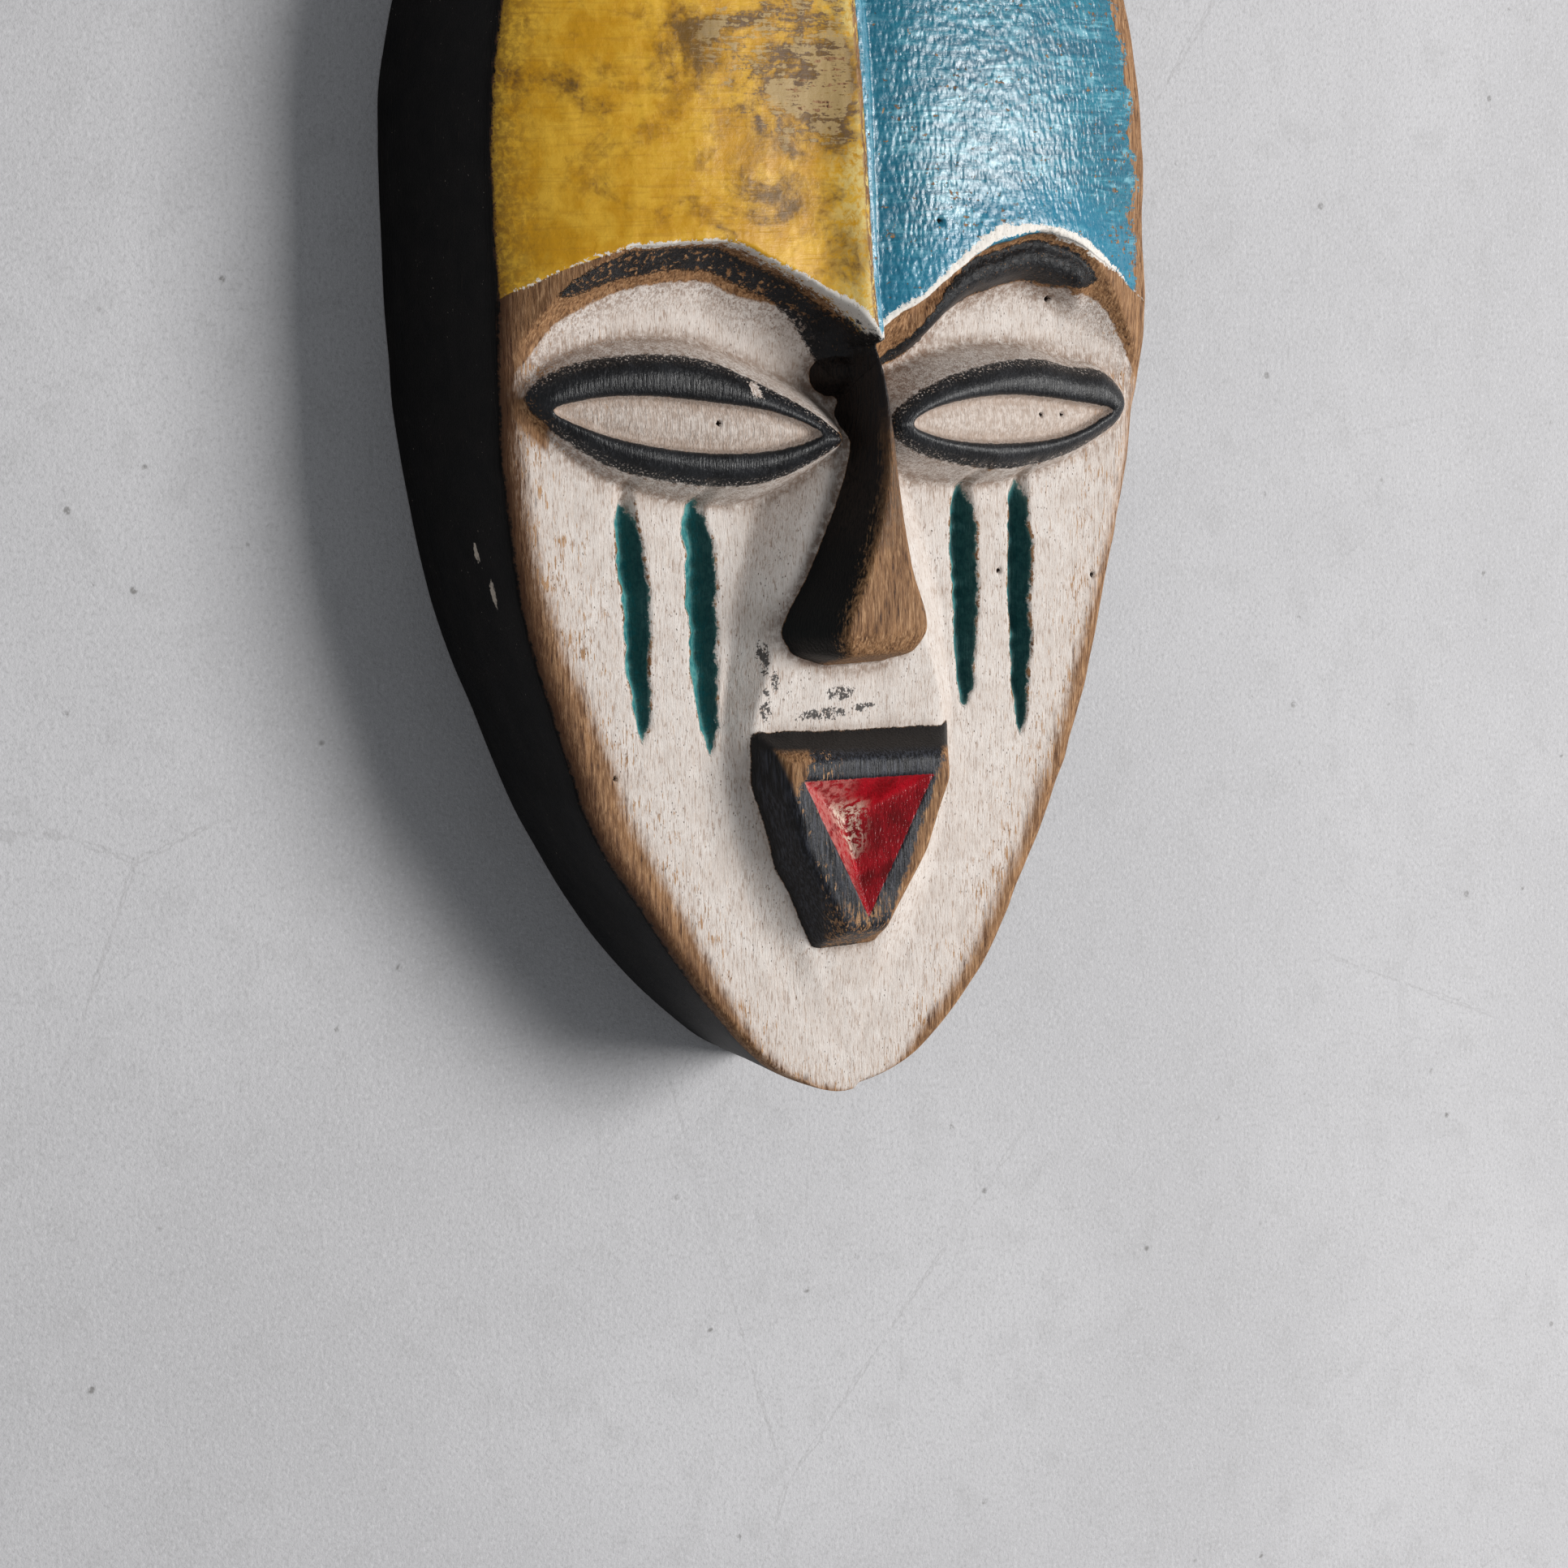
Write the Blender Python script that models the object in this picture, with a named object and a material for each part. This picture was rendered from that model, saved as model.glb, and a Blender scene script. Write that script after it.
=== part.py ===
"""Carved wooden wall mask with a D-ring hanger.

Frame: +X is the viewer's right, +Z is up, and the face looks towards -Y. The wall is the plane
Y = 0, which the mask's rim rests on. The origin is the point of the wall nail that carries the
inside of the hanger ring's arch.
"""

import math

import bmesh
import bpy
import numpy as np
from mathutils import Matrix

MM = 0.001
GAP = 0.3  # clearance between touching pieces; every length below is in millimetres

# Overall size, measured from the nail
CROWN_Z = 15.0
CHIN_Z = -360.0
WIDEST_Z = -114.0
CROWN_POWER = 2.5  # above 2 the crown is squarer than an ellipse
EDGE_DEPTH = 52.0  # from the wall to the edge between side wall and face
CHEEK_DEPTH = 56.0

# Half widths below the widest place: height, wall rim, face edge left, face edge right
TAPER = [
    (WIDEST_Z, 108.0, 99.8, 107.4),
    (-150.0, 107.0, 99.8, 106.2),
    (-185.0, 103.2, 99.3, 100.4),
    (-220.0, 96.0, 94.8, 92.6),
    (-252.0, 84.6, 86.1, 84.8),
    (-284.0, 71.0, 74.6, 72.6),
    (-310.0, 56.0, 57.2, 59.6),
    (-332.0, 38.5, 41.5, 46.0),
    (-350.0, 19.5, 24.5, 28.2),
    (CHIN_Z, 4.0, 5.0, 6.5),
]

# Forehead dome: how far it stands out over the edge, and how square its section is
DOME_HEIGHT = 21.0
DOME_POWER = 3.0
DOME_CREST_Z = -135.0

# Lower border of the forehead, from the left temple over the central point to the right temple
BROW_LINE = [
    (-130.0, -150.0),
    (-97.0, -139.0),
    (-84.0, -132.5),
    (-68.0, -127.5),
    (-50.0, -126.5),
    (-37.0, -128.5),
    (-24.0, -134.5),
    (-10.0, -145.0),
    (0.0, -155.0),
    (10.0, -144.0),
    (24.0, -135.0),
    (37.0, -127.5),
    (50.0, -122.8),
    (66.0, -124.0),
    (83.0, -131.0),
    (98.0, -143.5),
    (130.0, -160.0),
]
SOCKET_SLOPE = 9.0  # width of the slope under the brow

# Eyes: centre, tilt in degrees (inner corner down), half length, rise and drop of the lid's outline
EYES = {
    "left": {"x": -50.3, "z": -171.0, "tilt": 9.5, "half": 42.5, "rise": 16.0, "drop": 17.5},
    "right": {"x": 50.5, "z": -172.5, "tilt": 3.0, "half": 43.0, "rise": 13.5, "drop": 16.0},
}
SLIT_HALF = 35.5
SLIT_RISE = 4.8
SLIT_DROP = 8.0
LID_DEPTH_MIDDLE = 76.5  # depth of the lids' crest on the centre line
LID_SLOPE = 0.155  # how fast the lids' crest falls back towards the temples
ALMOND_POINTS = 28

# Keel along the middle of the forehead
KEEL_TOP_Z = 8.0
KEEL_END_Z = -152.0
KEEL_FOOT = 8.4
KEEL_PROUD_TOP = 1.0
KEEL_PROUD_END = 7.0

# Nose sections: height, half width at the face, half width in front, centre of the front, depth
NOSE = [
    (-149.0, 7.0, 2.6, 0.0, 79.0),
    (-170.0, 7.5, 2.0, 0.6, 78.0),
    (-190.0, 12.5, 2.3, 1.4, 80.0),
    (-212.0, 21.5, 7.0, 0.4, 82.5),
    (-229.0, 28.5, 12.4, 0.0, 83.5),
    (-236.0, 26.0, 9.5, 0.0, 80.0),
]

# Raised middle of the face: height, half width of its flat top, half width of its foot, depth
MUZZLE = [
    (-178.0, 5.0, 20.0, 66.0),
    (-212.0, 19.0, 33.0, 65.0),
    (-234.0, 24.0, 38.0, 64.0),
    (-258.0, 30.0, 40.0, 62.0),
    (-300.0, 20.0, 34.0, 60.5),
    (-336.0, 8.0, 20.0, 57.5),
    (-352.0, 3.0, 9.0, 55.0),
]

# Mouth block, from its foot on the face to its front, as corners running round
MOUTH_FOOT = [(-31.0, -254.5), (32.0, -257.5), (32.5, -270.0), (23.0, -295.0), (8.5, -317.0)]
MOUTH_FOOT += [(-10.5, -317.0), (-23.0, -294.0), (-30.0, -270.0)]
MOUTH_FRONT = [(-24.6, -262.0), (24.6, -265.0), (26.8, -270.5), (17.6, -294.0), (4.6, -312.0)]
MOUTH_FRONT += [(-5.6, -312.0), (-18.6, -293.0), (-25.6, -270.0)]
MOUTH_DEPTH = 72.0
MOUTH_RECESS = [(-20.5, -269.5), (20.8, -271.0), (-0.3, -306.5)]
MOUTH_RECESS_FLOOR = (-2.0, -283.0)
MOUTH_RECESS_DEPTH = 10.5

# Tear grooves: x at the top, x at the tip, top, tip, half width
GROOVES = {
    "outer_left": (-63.4, -60.3, -187.0, -257.0, 4.6),
    "inner_left": (-42.4, -41.1, -191.0, -262.0, 5.2),
    "inner_right": (42.0, 41.1, -190.0, -256.0, 5.2),
    "outer_right": (61.2, 60.4, -188.0, -265.0, 4.6),
}
GROOVE_DEPTH = 5.5

# Hollow behind the face
HOLLOW_Z = -190.0
HOLLOW_Y = 1.5  # the widest section stands just behind the rim
HOLLOW_RADII = (88.0, 41.5, 145.0)
HOLLOW_TAPER = 0.15

# Hanger in its pocket behind the crown
RING_WIRE = 1.1
RING_HALF_WIDTH = 8.0
HINGE_Y = -2.3
HINGE_Z = -11.0
STRAP_HALF_WIDTH = 4.5
STRAP_SHEET = 0.8
STRAP_END_Z = -34.0
POCKET_DEPTH = 4.8
POCKET_HALF_WIDTH = 12.0
POCKET_TOP_Z = 5.0
POCKET_END_Z = -37.0
SCREW_HEIGHTS = (-18.0, -29.0)
SCREW_SHANK = 1.4
SCREW_HEAD = 2.9
SCREW_HEAD_HEIGHT = 1.6
SCREW_LENGTH = 14.0


def clear_scene():
    for item in list(bpy.data.objects):
        bpy.data.objects.remove(item, do_unlink=True)


def new_collection(name):
    collection = bpy.data.collections.new(name)
    bpy.context.scene.collection.children.link(collection)
    return collection


def new_material(name, colour, roughness, metallic):
    material = bpy.data.materials.new(name)
    material.use_nodes = True
    shader = material.node_tree.nodes["Principled BSDF"]
    shader.inputs["Base Color"].default_value = (*colour, 1.0)
    shader.inputs["Roughness"].default_value = roughness
    shader.inputs["Metallic"].default_value = metallic
    return material


def new_object(name, form, collection):
    """Turn a bmesh in millimetres into an object in metres."""
    bmesh.ops.scale(form, vec=(MM, MM, MM), verts=form.verts)
    mesh = bpy.data.meshes.new(name)
    form.to_mesh(mesh)
    form.free()
    item = bpy.data.objects.new(name, mesh)
    collection.objects.link(item)
    return item


def as_tool(item):
    item.hide_render = True
    item.display_type = "WIRE"
    return item


def apply_boolean(item, operation, tool):
    modifier = item.modifiers.new(tool.name, "BOOLEAN")
    modifier.operation = operation
    modifier.solver = "EXACT"
    modifier.object = tool


def loft(name, rings, collection):
    """Closed body through rings of equally many points, with a cap at each end."""
    form = bmesh.new()
    loops = [[form.verts.new(point) for point in ring] for ring in rings]
    for near, far in zip(loops, loops[1:]):
        for index, start in enumerate(near):
            after = (index + 1) % len(near)
            form.faces.new((start, near[after], far[after], far[index]))
    form.faces.new(list(reversed(loops[0])))
    form.faces.new(loops[-1])
    bmesh.ops.triangulate(form, faces=form.faces)
    bmesh.ops.recalc_face_normals(form, faces=form.faces)
    return new_object(name, form, collection)


def box(name, low, high, collection):
    form = bmesh.new()
    bmesh.ops.create_cube(form, size=1.0)
    size = [b - a for a, b in zip(low, high)]
    centre = [(a + b) / 2 for a, b in zip(low, high)]
    bmesh.ops.scale(form, vec=size, verts=form.verts)
    bmesh.ops.translate(form, vec=centre, verts=form.verts)
    return new_object(name, form, collection)


def cylinder(name, radius, start, end, axis, centre, segments, collection):
    """Capped cylinder along X or Y, from start to end, centred on the other two values."""
    form = bmesh.new()
    bmesh.ops.create_cone(
        form,
        cap_ends=True,
        segments=segments,
        radius1=radius,
        radius2=radius,
        depth=end - start,
    )
    turn = Matrix.Rotation(math.pi / 2, 3, "Y" if axis == "X" else "X")
    bmesh.ops.rotate(form, matrix=turn, verts=form.verts)
    middle = (start + end) / 2
    place = (middle, *centre) if axis == "X" else (centre[0], middle, centre[1])
    bmesh.ops.translate(form, vec=place, verts=form.verts)
    return new_object(name, form, collection)


def smooth_table(heights, table, column):
    """Catmull-Rom reading of a table whose first column falls from row to row."""
    rows = np.array(table)
    values = []
    for height in heights:
        row = int(np.clip(np.searchsorted(-rows[:, 0], -height) - 1, 0, len(rows) - 2))
        span = rows[row + 1, 0] - rows[row, 0]
        t = (height - rows[row, 0]) / span
        before = rows[max(row - 1, 0)]
        after = rows[min(row + 2, len(rows) - 1)]
        slope_in = (rows[row + 1, column] - before[column]) / (rows[row + 1, 0] - before[0]) * span
        slope_out = (after[column] - rows[row, column]) / (after[0] - rows[row, 0]) * span
        value = (2 * t**3 - 3 * t**2 + 1) * rows[row, column] + (t**3 - 2 * t**2 + t) * slope_in
        value += (3 * t**2 - 2 * t**3) * rows[row + 1, column] + (t**3 - t**2) * slope_out
        values.append(value)
    return np.array(values)


def dome_rise(height):
    """How far the middle of the face stands out over its edge at a height."""
    if height > DOME_CREST_Z:
        t = (height - DOME_CREST_Z) / (CROWN_Z - DOME_CREST_Z)
        return DOME_HEIGHT * (1.0 - t**2.2)
    return DOME_HEIGHT


def wood_block(collection):
    """The block before its features: straight side walls and a domed front."""
    arch = [CROWN_Z - (CROWN_Z - WIDEST_Z) * (1 - math.cos(a)) for a in np.linspace(0.12, 1.57, 14)]
    sides = list(np.linspace(WIDEST_Z, -330.0, 18)[1:])
    chin = [-338.0, -344.0, -350.0, -355.0, -358.5, CHIN_Z]
    rings = []
    for height in arch + sides + chin:
        if height > WIDEST_Z:
            t = (height - WIDEST_Z) / (CROWN_Z - WIDEST_Z)
            width = math.sqrt(1 - t**CROWN_POWER)
            rim, left, right = (width * value for value in TAPER[0][1:])
        else:
            rim, left, right = (smooth_table([height], TAPER, k)[0] for k in (1, 2, 3))
        rise = dome_rise(height) * min(1.0, left / 40.0)
        ring = [(-rim, 0.0, height)]
        for u in np.linspace(-1.0, 1.0, 17):
            across = math.sin(u * math.pi / 2)
            x = (left + right) / 2 * across + (right - left) / 2
            depth = EDGE_DEPTH + rise * (1 - abs(across) ** DOME_POWER)
            ring.append((x, -depth, height))
        ring.append((rim, 0.0, height))
        rings.append(ring)
    return loft("mask_body", rings, collection)


def face_cutter(collection):
    """Clears the cheeks and chin below the brow, with a slope under the brow."""
    border = BROW_LINE + [(130.0, -390.0), (-130.0, -390.0)]
    lowered = [(x, z - SOCKET_SLOPE) for x, z in border]
    rings = [[(x, -CHEEK_DEPTH, z) for x, z in lowered]]
    rings.append([(x, -CHEEK_DEPTH - SOCKET_SLOPE, z) for x, z in border])
    rings.append([(x, -CHEEK_DEPTH - 60.0, z) for x, z in border])
    return as_tool(loft("face_cutter", rings, collection))


def almond(half, rise, drop, pointed):
    """Outline of an eye, from its inner corner over the top and back along the bottom."""
    points = []
    for index in range(ALMOND_POINTS):
        angle = 2 * math.pi * index / ALMOND_POINTS
        lift = abs(math.sin(angle)) ** pointed
        height = rise * lift if angle < math.pi else -drop * lift
        points.append((half * math.cos(angle), height))
    return points


def eye(side, spec, collection):
    """Lids as a raised almond around the slit, on the plane that falls back to the temple."""
    outward = -1 if side == "left" else 1
    tilt = math.radians(spec["tilt"]) * outward

    def ring(half, rise, drop, pointed, depth=None, below=0.0):
        points = []
        for u, v in almond(half, rise, drop, pointed):
            x = spec["x"] + u * math.cos(tilt) - v * math.sin(tilt)
            z = spec["z"] + u * math.sin(tilt) + v * math.cos(tilt)
            crest = LID_DEPTH_MIDDLE - LID_SLOPE * abs(x) - below
            points.append((x, -(depth or crest), z))
        return points

    half, rise, drop = spec["half"], spec["rise"], spec["drop"]
    rings = [
        ring(half + 3.0, rise + 3.0, drop + 3.0, 1.3, depth=CHEEK_DEPTH - 6.0),
        ring(half, rise, drop, 1.35, below=4.0),
        ring(half - 1.5, rise - 1.6, drop - 1.6, 1.4, below=1.0),
        ring(half - 4.0, rise - 5.0, drop - 4.0, 1.4),
        ring(SLIT_HALF + 0.8, SLIT_RISE + 0.8, SLIT_DROP + 0.8, 1.4, below=0.6),
        ring(SLIT_HALF, SLIT_RISE, SLIT_DROP, 1.4, below=3.4),
        ring(SLIT_HALF * 0.6, SLIT_RISE * 0.4, SLIT_DROP * 0.4, 1.2, below=2.6),
    ]
    return as_tool(loft(f"eye_{side}", rings, collection))


def nose(collection):
    rings = []
    for height, foot, front, centre, depth in NOSE:
        ring = [(-foot, -CHEEK_DEPTH + 4.0, height), (centre - front, -depth, height)]
        ring += [(centre + front, -depth, height), (foot, -CHEEK_DEPTH + 4.0, height)]
        rings.append(ring)
    return as_tool(loft("nose", rings, collection))


def muzzle(collection):
    rings = []
    for height, top, foot, depth in MUZZLE:
        ring = [(-foot, -CHEEK_DEPTH + 3.0, height), (-top, -depth, height)]
        ring += [(top, -depth, height), (foot, -CHEEK_DEPTH + 3.0, height)]
        rings.append(ring)
    return as_tool(loft("muzzle", rings, collection))


def mouth_block(collection):
    rings = [[(x, -CHEEK_DEPTH + 5.0, z) for x, z in MOUTH_FOOT]]
    rings.append([(x, -CHEEK_DEPTH - 5.0, z) for x, z in MOUTH_FOOT])
    rings.append([(x, -MOUTH_DEPTH, z) for x, z in MOUTH_FRONT])
    return as_tool(loft("mouth_block", rings, collection))


def mouth_recess(collection):
    """Three-sided pit that widens forwards."""
    floor_x, floor_z = MOUTH_RECESS_FLOOR
    rings = []
    for share in (0.02, 1.0, 1.4):
        depth = MOUTH_DEPTH - MOUTH_RECESS_DEPTH * (1.0 - share)
        ring = []
        for x, z in MOUTH_RECESS:
            ring.append((floor_x + (x - floor_x) * share, -depth, floor_z + (z - floor_z) * share))
        rings.append(ring)
    return as_tool(loft("mouth_recess", rings, collection))


def keel(collection):
    """Ridge from the crown down to the point between the brows."""
    rings = []
    for share in np.linspace(0.0, 1.0, 15):
        height = KEEL_TOP_Z + (KEEL_END_Z - KEEL_TOP_Z) * share
        crest = EDGE_DEPTH + dome_rise(height)
        proud = KEEL_PROUD_TOP + (KEEL_PROUD_END - KEEL_PROUD_TOP) * share**2
        ring = [(-KEEL_FOOT, -crest + 4.0, height), (-0.8, -crest - proud, height)]
        ring += [(1.2, -crest - proud, height), (KEEL_FOOT, -crest + 4.0, height)]
        rings.append(ring)
    return as_tool(loft("keel", rings, collection))


def groove(side, spec, collection):
    """Spindle with a square section turned on edge, so that it cuts a V."""
    top_x, tip_x, top_z, tip_z, half_width = spec
    length = (top_z - tip_z) / 2
    form = bmesh.new()
    bmesh.ops.create_uvsphere(form, u_segments=4, v_segments=12, radius=1.0)
    bmesh.ops.scale(form, vec=(half_width, GROOVE_DEPTH, length), verts=form.verts)
    lean = math.atan2(top_x - tip_x, 2 * length)
    bmesh.ops.rotate(form, matrix=Matrix.Rotation(lean, 3, "Y"), verts=form.verts)
    place = ((top_x + tip_x) / 2, -CHEEK_DEPTH, (top_z + tip_z) / 2)
    bmesh.ops.translate(form, vec=place, verts=form.verts)
    return as_tool(new_object(f"groove_{side}", form, collection))


def hollow(collection):
    form = bmesh.new()
    bmesh.ops.create_uvsphere(form, u_segments=36, v_segments=22, radius=1.0)
    for vertex in form.verts:
        vertex.co.x *= 1.0 + HOLLOW_TAPER * vertex.co.z
    bmesh.ops.scale(form, vec=HOLLOW_RADII, verts=form.verts)
    bmesh.ops.translate(form, vec=(0.0, HOLLOW_Y, HOLLOW_Z), verts=form.verts)
    return as_tool(new_object("hollow", form, collection))


def hanger_pocket(collection):
    low = (-POCKET_HALF_WIDTH, -POCKET_DEPTH, POCKET_END_Z)
    high = (POCKET_HALF_WIDTH, POCKET_DEPTH, POCKET_TOP_Z)
    return as_tool(box("hanger_pocket", low, high, collection))


def mask_body(parts, tools, material):
    body = wood_block(parts)
    apply_boolean(body, "DIFFERENCE", face_cutter(tools))
    added = [keel(tools), muzzle(tools), nose(tools), mouth_block(tools)]
    added += [eye(side, spec, tools) for side, spec in EYES.items()]
    for tool in added:
        apply_boolean(body, "UNION", tool)
    removed = [mouth_recess(tools), hollow(tools), hanger_pocket(tools)]
    removed += [groove(side, spec, tools) for side, spec in GROOVES.items()]
    for index, height in enumerate(SCREW_HEIGHTS):
        start = -SCREW_LENGTH - POCKET_DEPTH
        pilot = cylinder(
            f"pilot_{index + 1}", SCREW_SHANK + GAP, start, 0.0, "Y", (0.0, height), 16, tools
        )
        removed.append(as_tool(pilot))
    for tool in removed:
        apply_boolean(body, "DIFFERENCE", tool)
    body.data.materials.append(material)
    return body


def hanger_strap(parts, tools, material):
    """Strip folded round the ring's bar, both layers pressed flat under the screws."""
    back = -POCKET_DEPTH + GAP
    low = (-STRAP_HALF_WIDTH, back, STRAP_END_Z)
    high = (STRAP_HALF_WIDTH, back + 2 * STRAP_SHEET, HINGE_Z)
    strap = box("hanger_strap", low, high, parts)
    outer = RING_WIRE + GAP + STRAP_SHEET
    hinge = (HINGE_Y, HINGE_Z)
    fold = cylinder("strap_fold", outer, low[0], high[0], "X", hinge, 32, tools)
    bore = cylinder("strap_bore", RING_WIRE + GAP, low[0] * 2, high[0] * 2, "X", hinge, 32, tools)
    apply_boolean(strap, "UNION", as_tool(fold))
    apply_boolean(strap, "DIFFERENCE", as_tool(bore))
    for index, height in enumerate(SCREW_HEIGHTS):
        hole = cylinder(
            f"strap_hole_{index + 1}", SCREW_SHANK + GAP, -8.0, 0.0, "Y", (0.0, height), 20, tools
        )
        apply_boolean(strap, "DIFFERENCE", as_tool(hole))
    strap.data.materials.append(material)
    return strap


def hanger_ring(parts, material):
    """D-shaped wire ring, its origin on the bar that the strap folds round."""
    curve = bpy.data.curves.new("hanger_ring", "CURVE")
    curve.dimensions = "3D"
    curve.bevel_depth = RING_WIRE * MM
    curve.bevel_resolution = 2
    rise = RING_WIRE - HINGE_Z
    points = [(x, 0.0) for x in (-5.0, 0.0, 5.0)]
    for angle in np.linspace(0.0, math.pi, 25):
        square = 0.75
        x = RING_HALF_WIDTH * math.copysign(abs(math.cos(angle)) ** square, math.cos(angle))
        points.append((x, rise * math.sin(angle) ** square))
    spline = curve.splines.new("POLY")
    spline.points.add(len(points) - 1)
    for point, (x, z) in zip(spline.points, points):
        point.co = (x * MM, 0.0, z * MM, 1.0)
    spline.use_cyclic_u = True
    ring = bpy.data.objects.new("hanger_ring", curve)
    ring.location = (0.0, HINGE_Y * MM, HINGE_Z * MM)
    parts.objects.link(ring)
    curve.materials.append(material)
    return ring


def hanger_screw(index, height, parts, tools, material):
    face = -POCKET_DEPTH + GAP + 2 * STRAP_SHEET + GAP
    top = face + SCREW_HEAD_HEIGHT
    centre = (0.0, height)
    name = f"hanger_screw_{index}"
    screw = cylinder(name, SCREW_HEAD, face, top, "Y", centre, 28, parts)
    shank = cylinder(
        f"shank_{index}", SCREW_SHANK, -SCREW_LENGTH, face + 0.5, "Y", centre, 16, tools
    )
    slot = box(
        f"slot_{index}",
        (-SCREW_HEAD * 1.2, top - 0.7, height - 0.4),
        (SCREW_HEAD * 1.2, top + 1.0, height + 0.4),
        tools,
    )
    apply_boolean(screw, "UNION", as_tool(shank))
    apply_boolean(screw, "DIFFERENCE", as_tool(slot))
    screw.data.materials.append(material)
    return screw


def main():
    clear_scene()
    parts = new_collection("carved_wooden_mask")
    tools = new_collection("cutters")
    wood = new_material("painted_wood", (0.66, 0.58, 0.52), 0.55, 0.0)
    brass = new_material("brass_wire", (0.62, 0.47, 0.22), 0.35, 1.0)
    steel = new_material("plated_strip", (0.60, 0.60, 0.58), 0.38, 1.0)
    zinc = new_material("zinc_screws", (0.55, 0.55, 0.56), 0.42, 1.0)
    mask_body(parts, tools, wood)
    hanger_strap(parts, tools, steel)
    hanger_ring(parts, brass)
    for index, height in enumerate(SCREW_HEIGHTS):
        hanger_screw(index + 1, height, parts, tools, zinc)


main()
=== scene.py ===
"""The carved wall mask's looks: painted wood, metal hanger, wall, light and camera.

Lengths are in millimetres in the CAD's own frame unless a name says otherwise. X is the viewer's
right, Z is up, the wall is Y = 0, and a depth is how far the wood stands out of the wall (-Y).
"""

import math
from types import SimpleNamespace

import bpy
import numpy as np
from mathutils import Matrix, Vector


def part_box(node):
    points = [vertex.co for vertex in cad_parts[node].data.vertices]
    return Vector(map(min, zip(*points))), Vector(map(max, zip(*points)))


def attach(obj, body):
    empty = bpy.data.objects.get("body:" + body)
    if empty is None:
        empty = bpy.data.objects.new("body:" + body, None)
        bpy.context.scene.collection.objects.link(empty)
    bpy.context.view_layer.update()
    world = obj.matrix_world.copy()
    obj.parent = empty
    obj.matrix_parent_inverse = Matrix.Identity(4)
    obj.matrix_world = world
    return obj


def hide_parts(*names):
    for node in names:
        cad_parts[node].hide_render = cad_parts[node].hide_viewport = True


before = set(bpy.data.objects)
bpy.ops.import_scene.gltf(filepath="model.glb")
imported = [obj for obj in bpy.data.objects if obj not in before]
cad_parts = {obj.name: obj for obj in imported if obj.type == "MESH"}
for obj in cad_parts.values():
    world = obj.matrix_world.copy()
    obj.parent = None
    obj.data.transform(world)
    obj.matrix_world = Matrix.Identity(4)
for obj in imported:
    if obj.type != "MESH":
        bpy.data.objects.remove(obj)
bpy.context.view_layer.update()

MM = 0.001
SEED = 7

# Grid of the carved surface
ROW_STEP = 0.62
CROWN_ROWS = 66
CHIN_ROWS = 44
FRONT_COLUMNS = 401
BACK_COLUMNS = 150
TURN_HEIGHT = 34.0
CHIN_TURN_Z = -330.0

# What the paint follows: mostly distances inside a border, which stop at -FAR outside it
FAR = 12.0
MARKS = ("brow", "seam", "band", "stroke", "primer", "lid", "slit", "nose", "plane")
MARKS += ("mouth", "red", "groove", "flank", "edge", "cavity", "sharp", "back")

BODY_LOW, BODY_HIGH = (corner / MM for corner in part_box("mask_body"))
TOP_Z = BODY_HIGH.z - 0.03
CHIN_Z = BODY_LOW.z + 0.03

# The block, as in the CAD
CROWN_Z = 15.0
WIDEST_Z = -114.0
CROWN_POWER = 2.5
EDGE_DEPTH = 52.0
CHEEK_DEPTH = 56.0

# Outline: z, half width of the wall rim, of the face's left edge and of its right edge
TAPER = [
    (WIDEST_Z, 107.5, 99.8, 107.0),
    (-150.0, 106.6, 99.8, 106.0),
    (-185.0, 103.0, 99.3, 100.4),
    (-220.0, 96.0, 94.8, 92.6),
    (-252.0, 84.6, 86.1, 84.8),
    (-284.0, 71.0, 74.6, 72.6),
    (-310.0, 56.0, 57.2, 59.6),
    (-332.0, 38.5, 41.5, 46.0),
    (-350.0, 19.5, 24.5, 28.2),
    (-360.0, 6.0, 9.0, 11.0),
]
DOME_HEIGHT = 21.0
DOME_POWER = 3.0
DOME_CREST_Z = -135.0
CHIN_ROUND_Z = -348.0
FACE_EDGE_LIMIT = 107.6

# Brow lines from left to right: x, z
BROW_LEFT = [(-130, -150), (-97, -139), (-84, -132.5), (-68, -127.8), (-53, -126.5)]
BROW_LEFT += [(-39, -127.3), (-26, -132.8), (-16, -138), (-6.5, -145.5), (0, -154)]
BROW_RIGHT = [(0, -154), (10, -147.3), (20, -141.3), (31, -133.6), (42, -128.3), (52, -126)]
BROW_RIGHT += [(62, -125), (72, -127.6), (81, -132.2), (90, -136.6), (98, -141), (130, -160)]

# Slope under the brow: distance below the brow line, height over the cheek
SLOPE_LEFT = [(0, 11.4), (1.2, 9.8), (5, 6.2), (9, 2.6), (12, 0.7), (17, -0.8), (26, -1.0), (40, 0)]
SLOPE_RIGHT = [(0, 11.4), (2, 9), (6, 6.4), (10, 3.2), (13, 1), (16, -0.4), (22, -1), (28, -1), (40, 0)]
SLOPE_ROLL = [(0, 11.4), (1.4, 9.6), (2.6, 8.6), (3.6, 8.9), (5.5, 10.2), (8, 10), (10.2, 7.8)]
SLOPE_ROLL += [(12, 3.8), (13.2, 0.8), (16, -0.8), (24, -1.2), (40, 0)]

# Where the cream paint starts: x, distance below the brow line
BAND = [(-99, 22), (-93, 17), (-85, 13), (-76, 12), (-67, 11.5), (-59, 10), (-46, 9.8), (-34, 9.5)]
BAND += [(-22, 6.8), (-14, 5), (-5, 5), (5, 12), (14, 13), (20, 13.5), (27, 13), (35, 12.8), (45, 13.4)]
BAND += [(53, 13.1), (60, 13), (67, 12.8), (72, 11.6), (77, 9.8), (83, 9), (88, 10), (93, 12.5)]
BAND += [(97, 15), (101, 20)]

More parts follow.
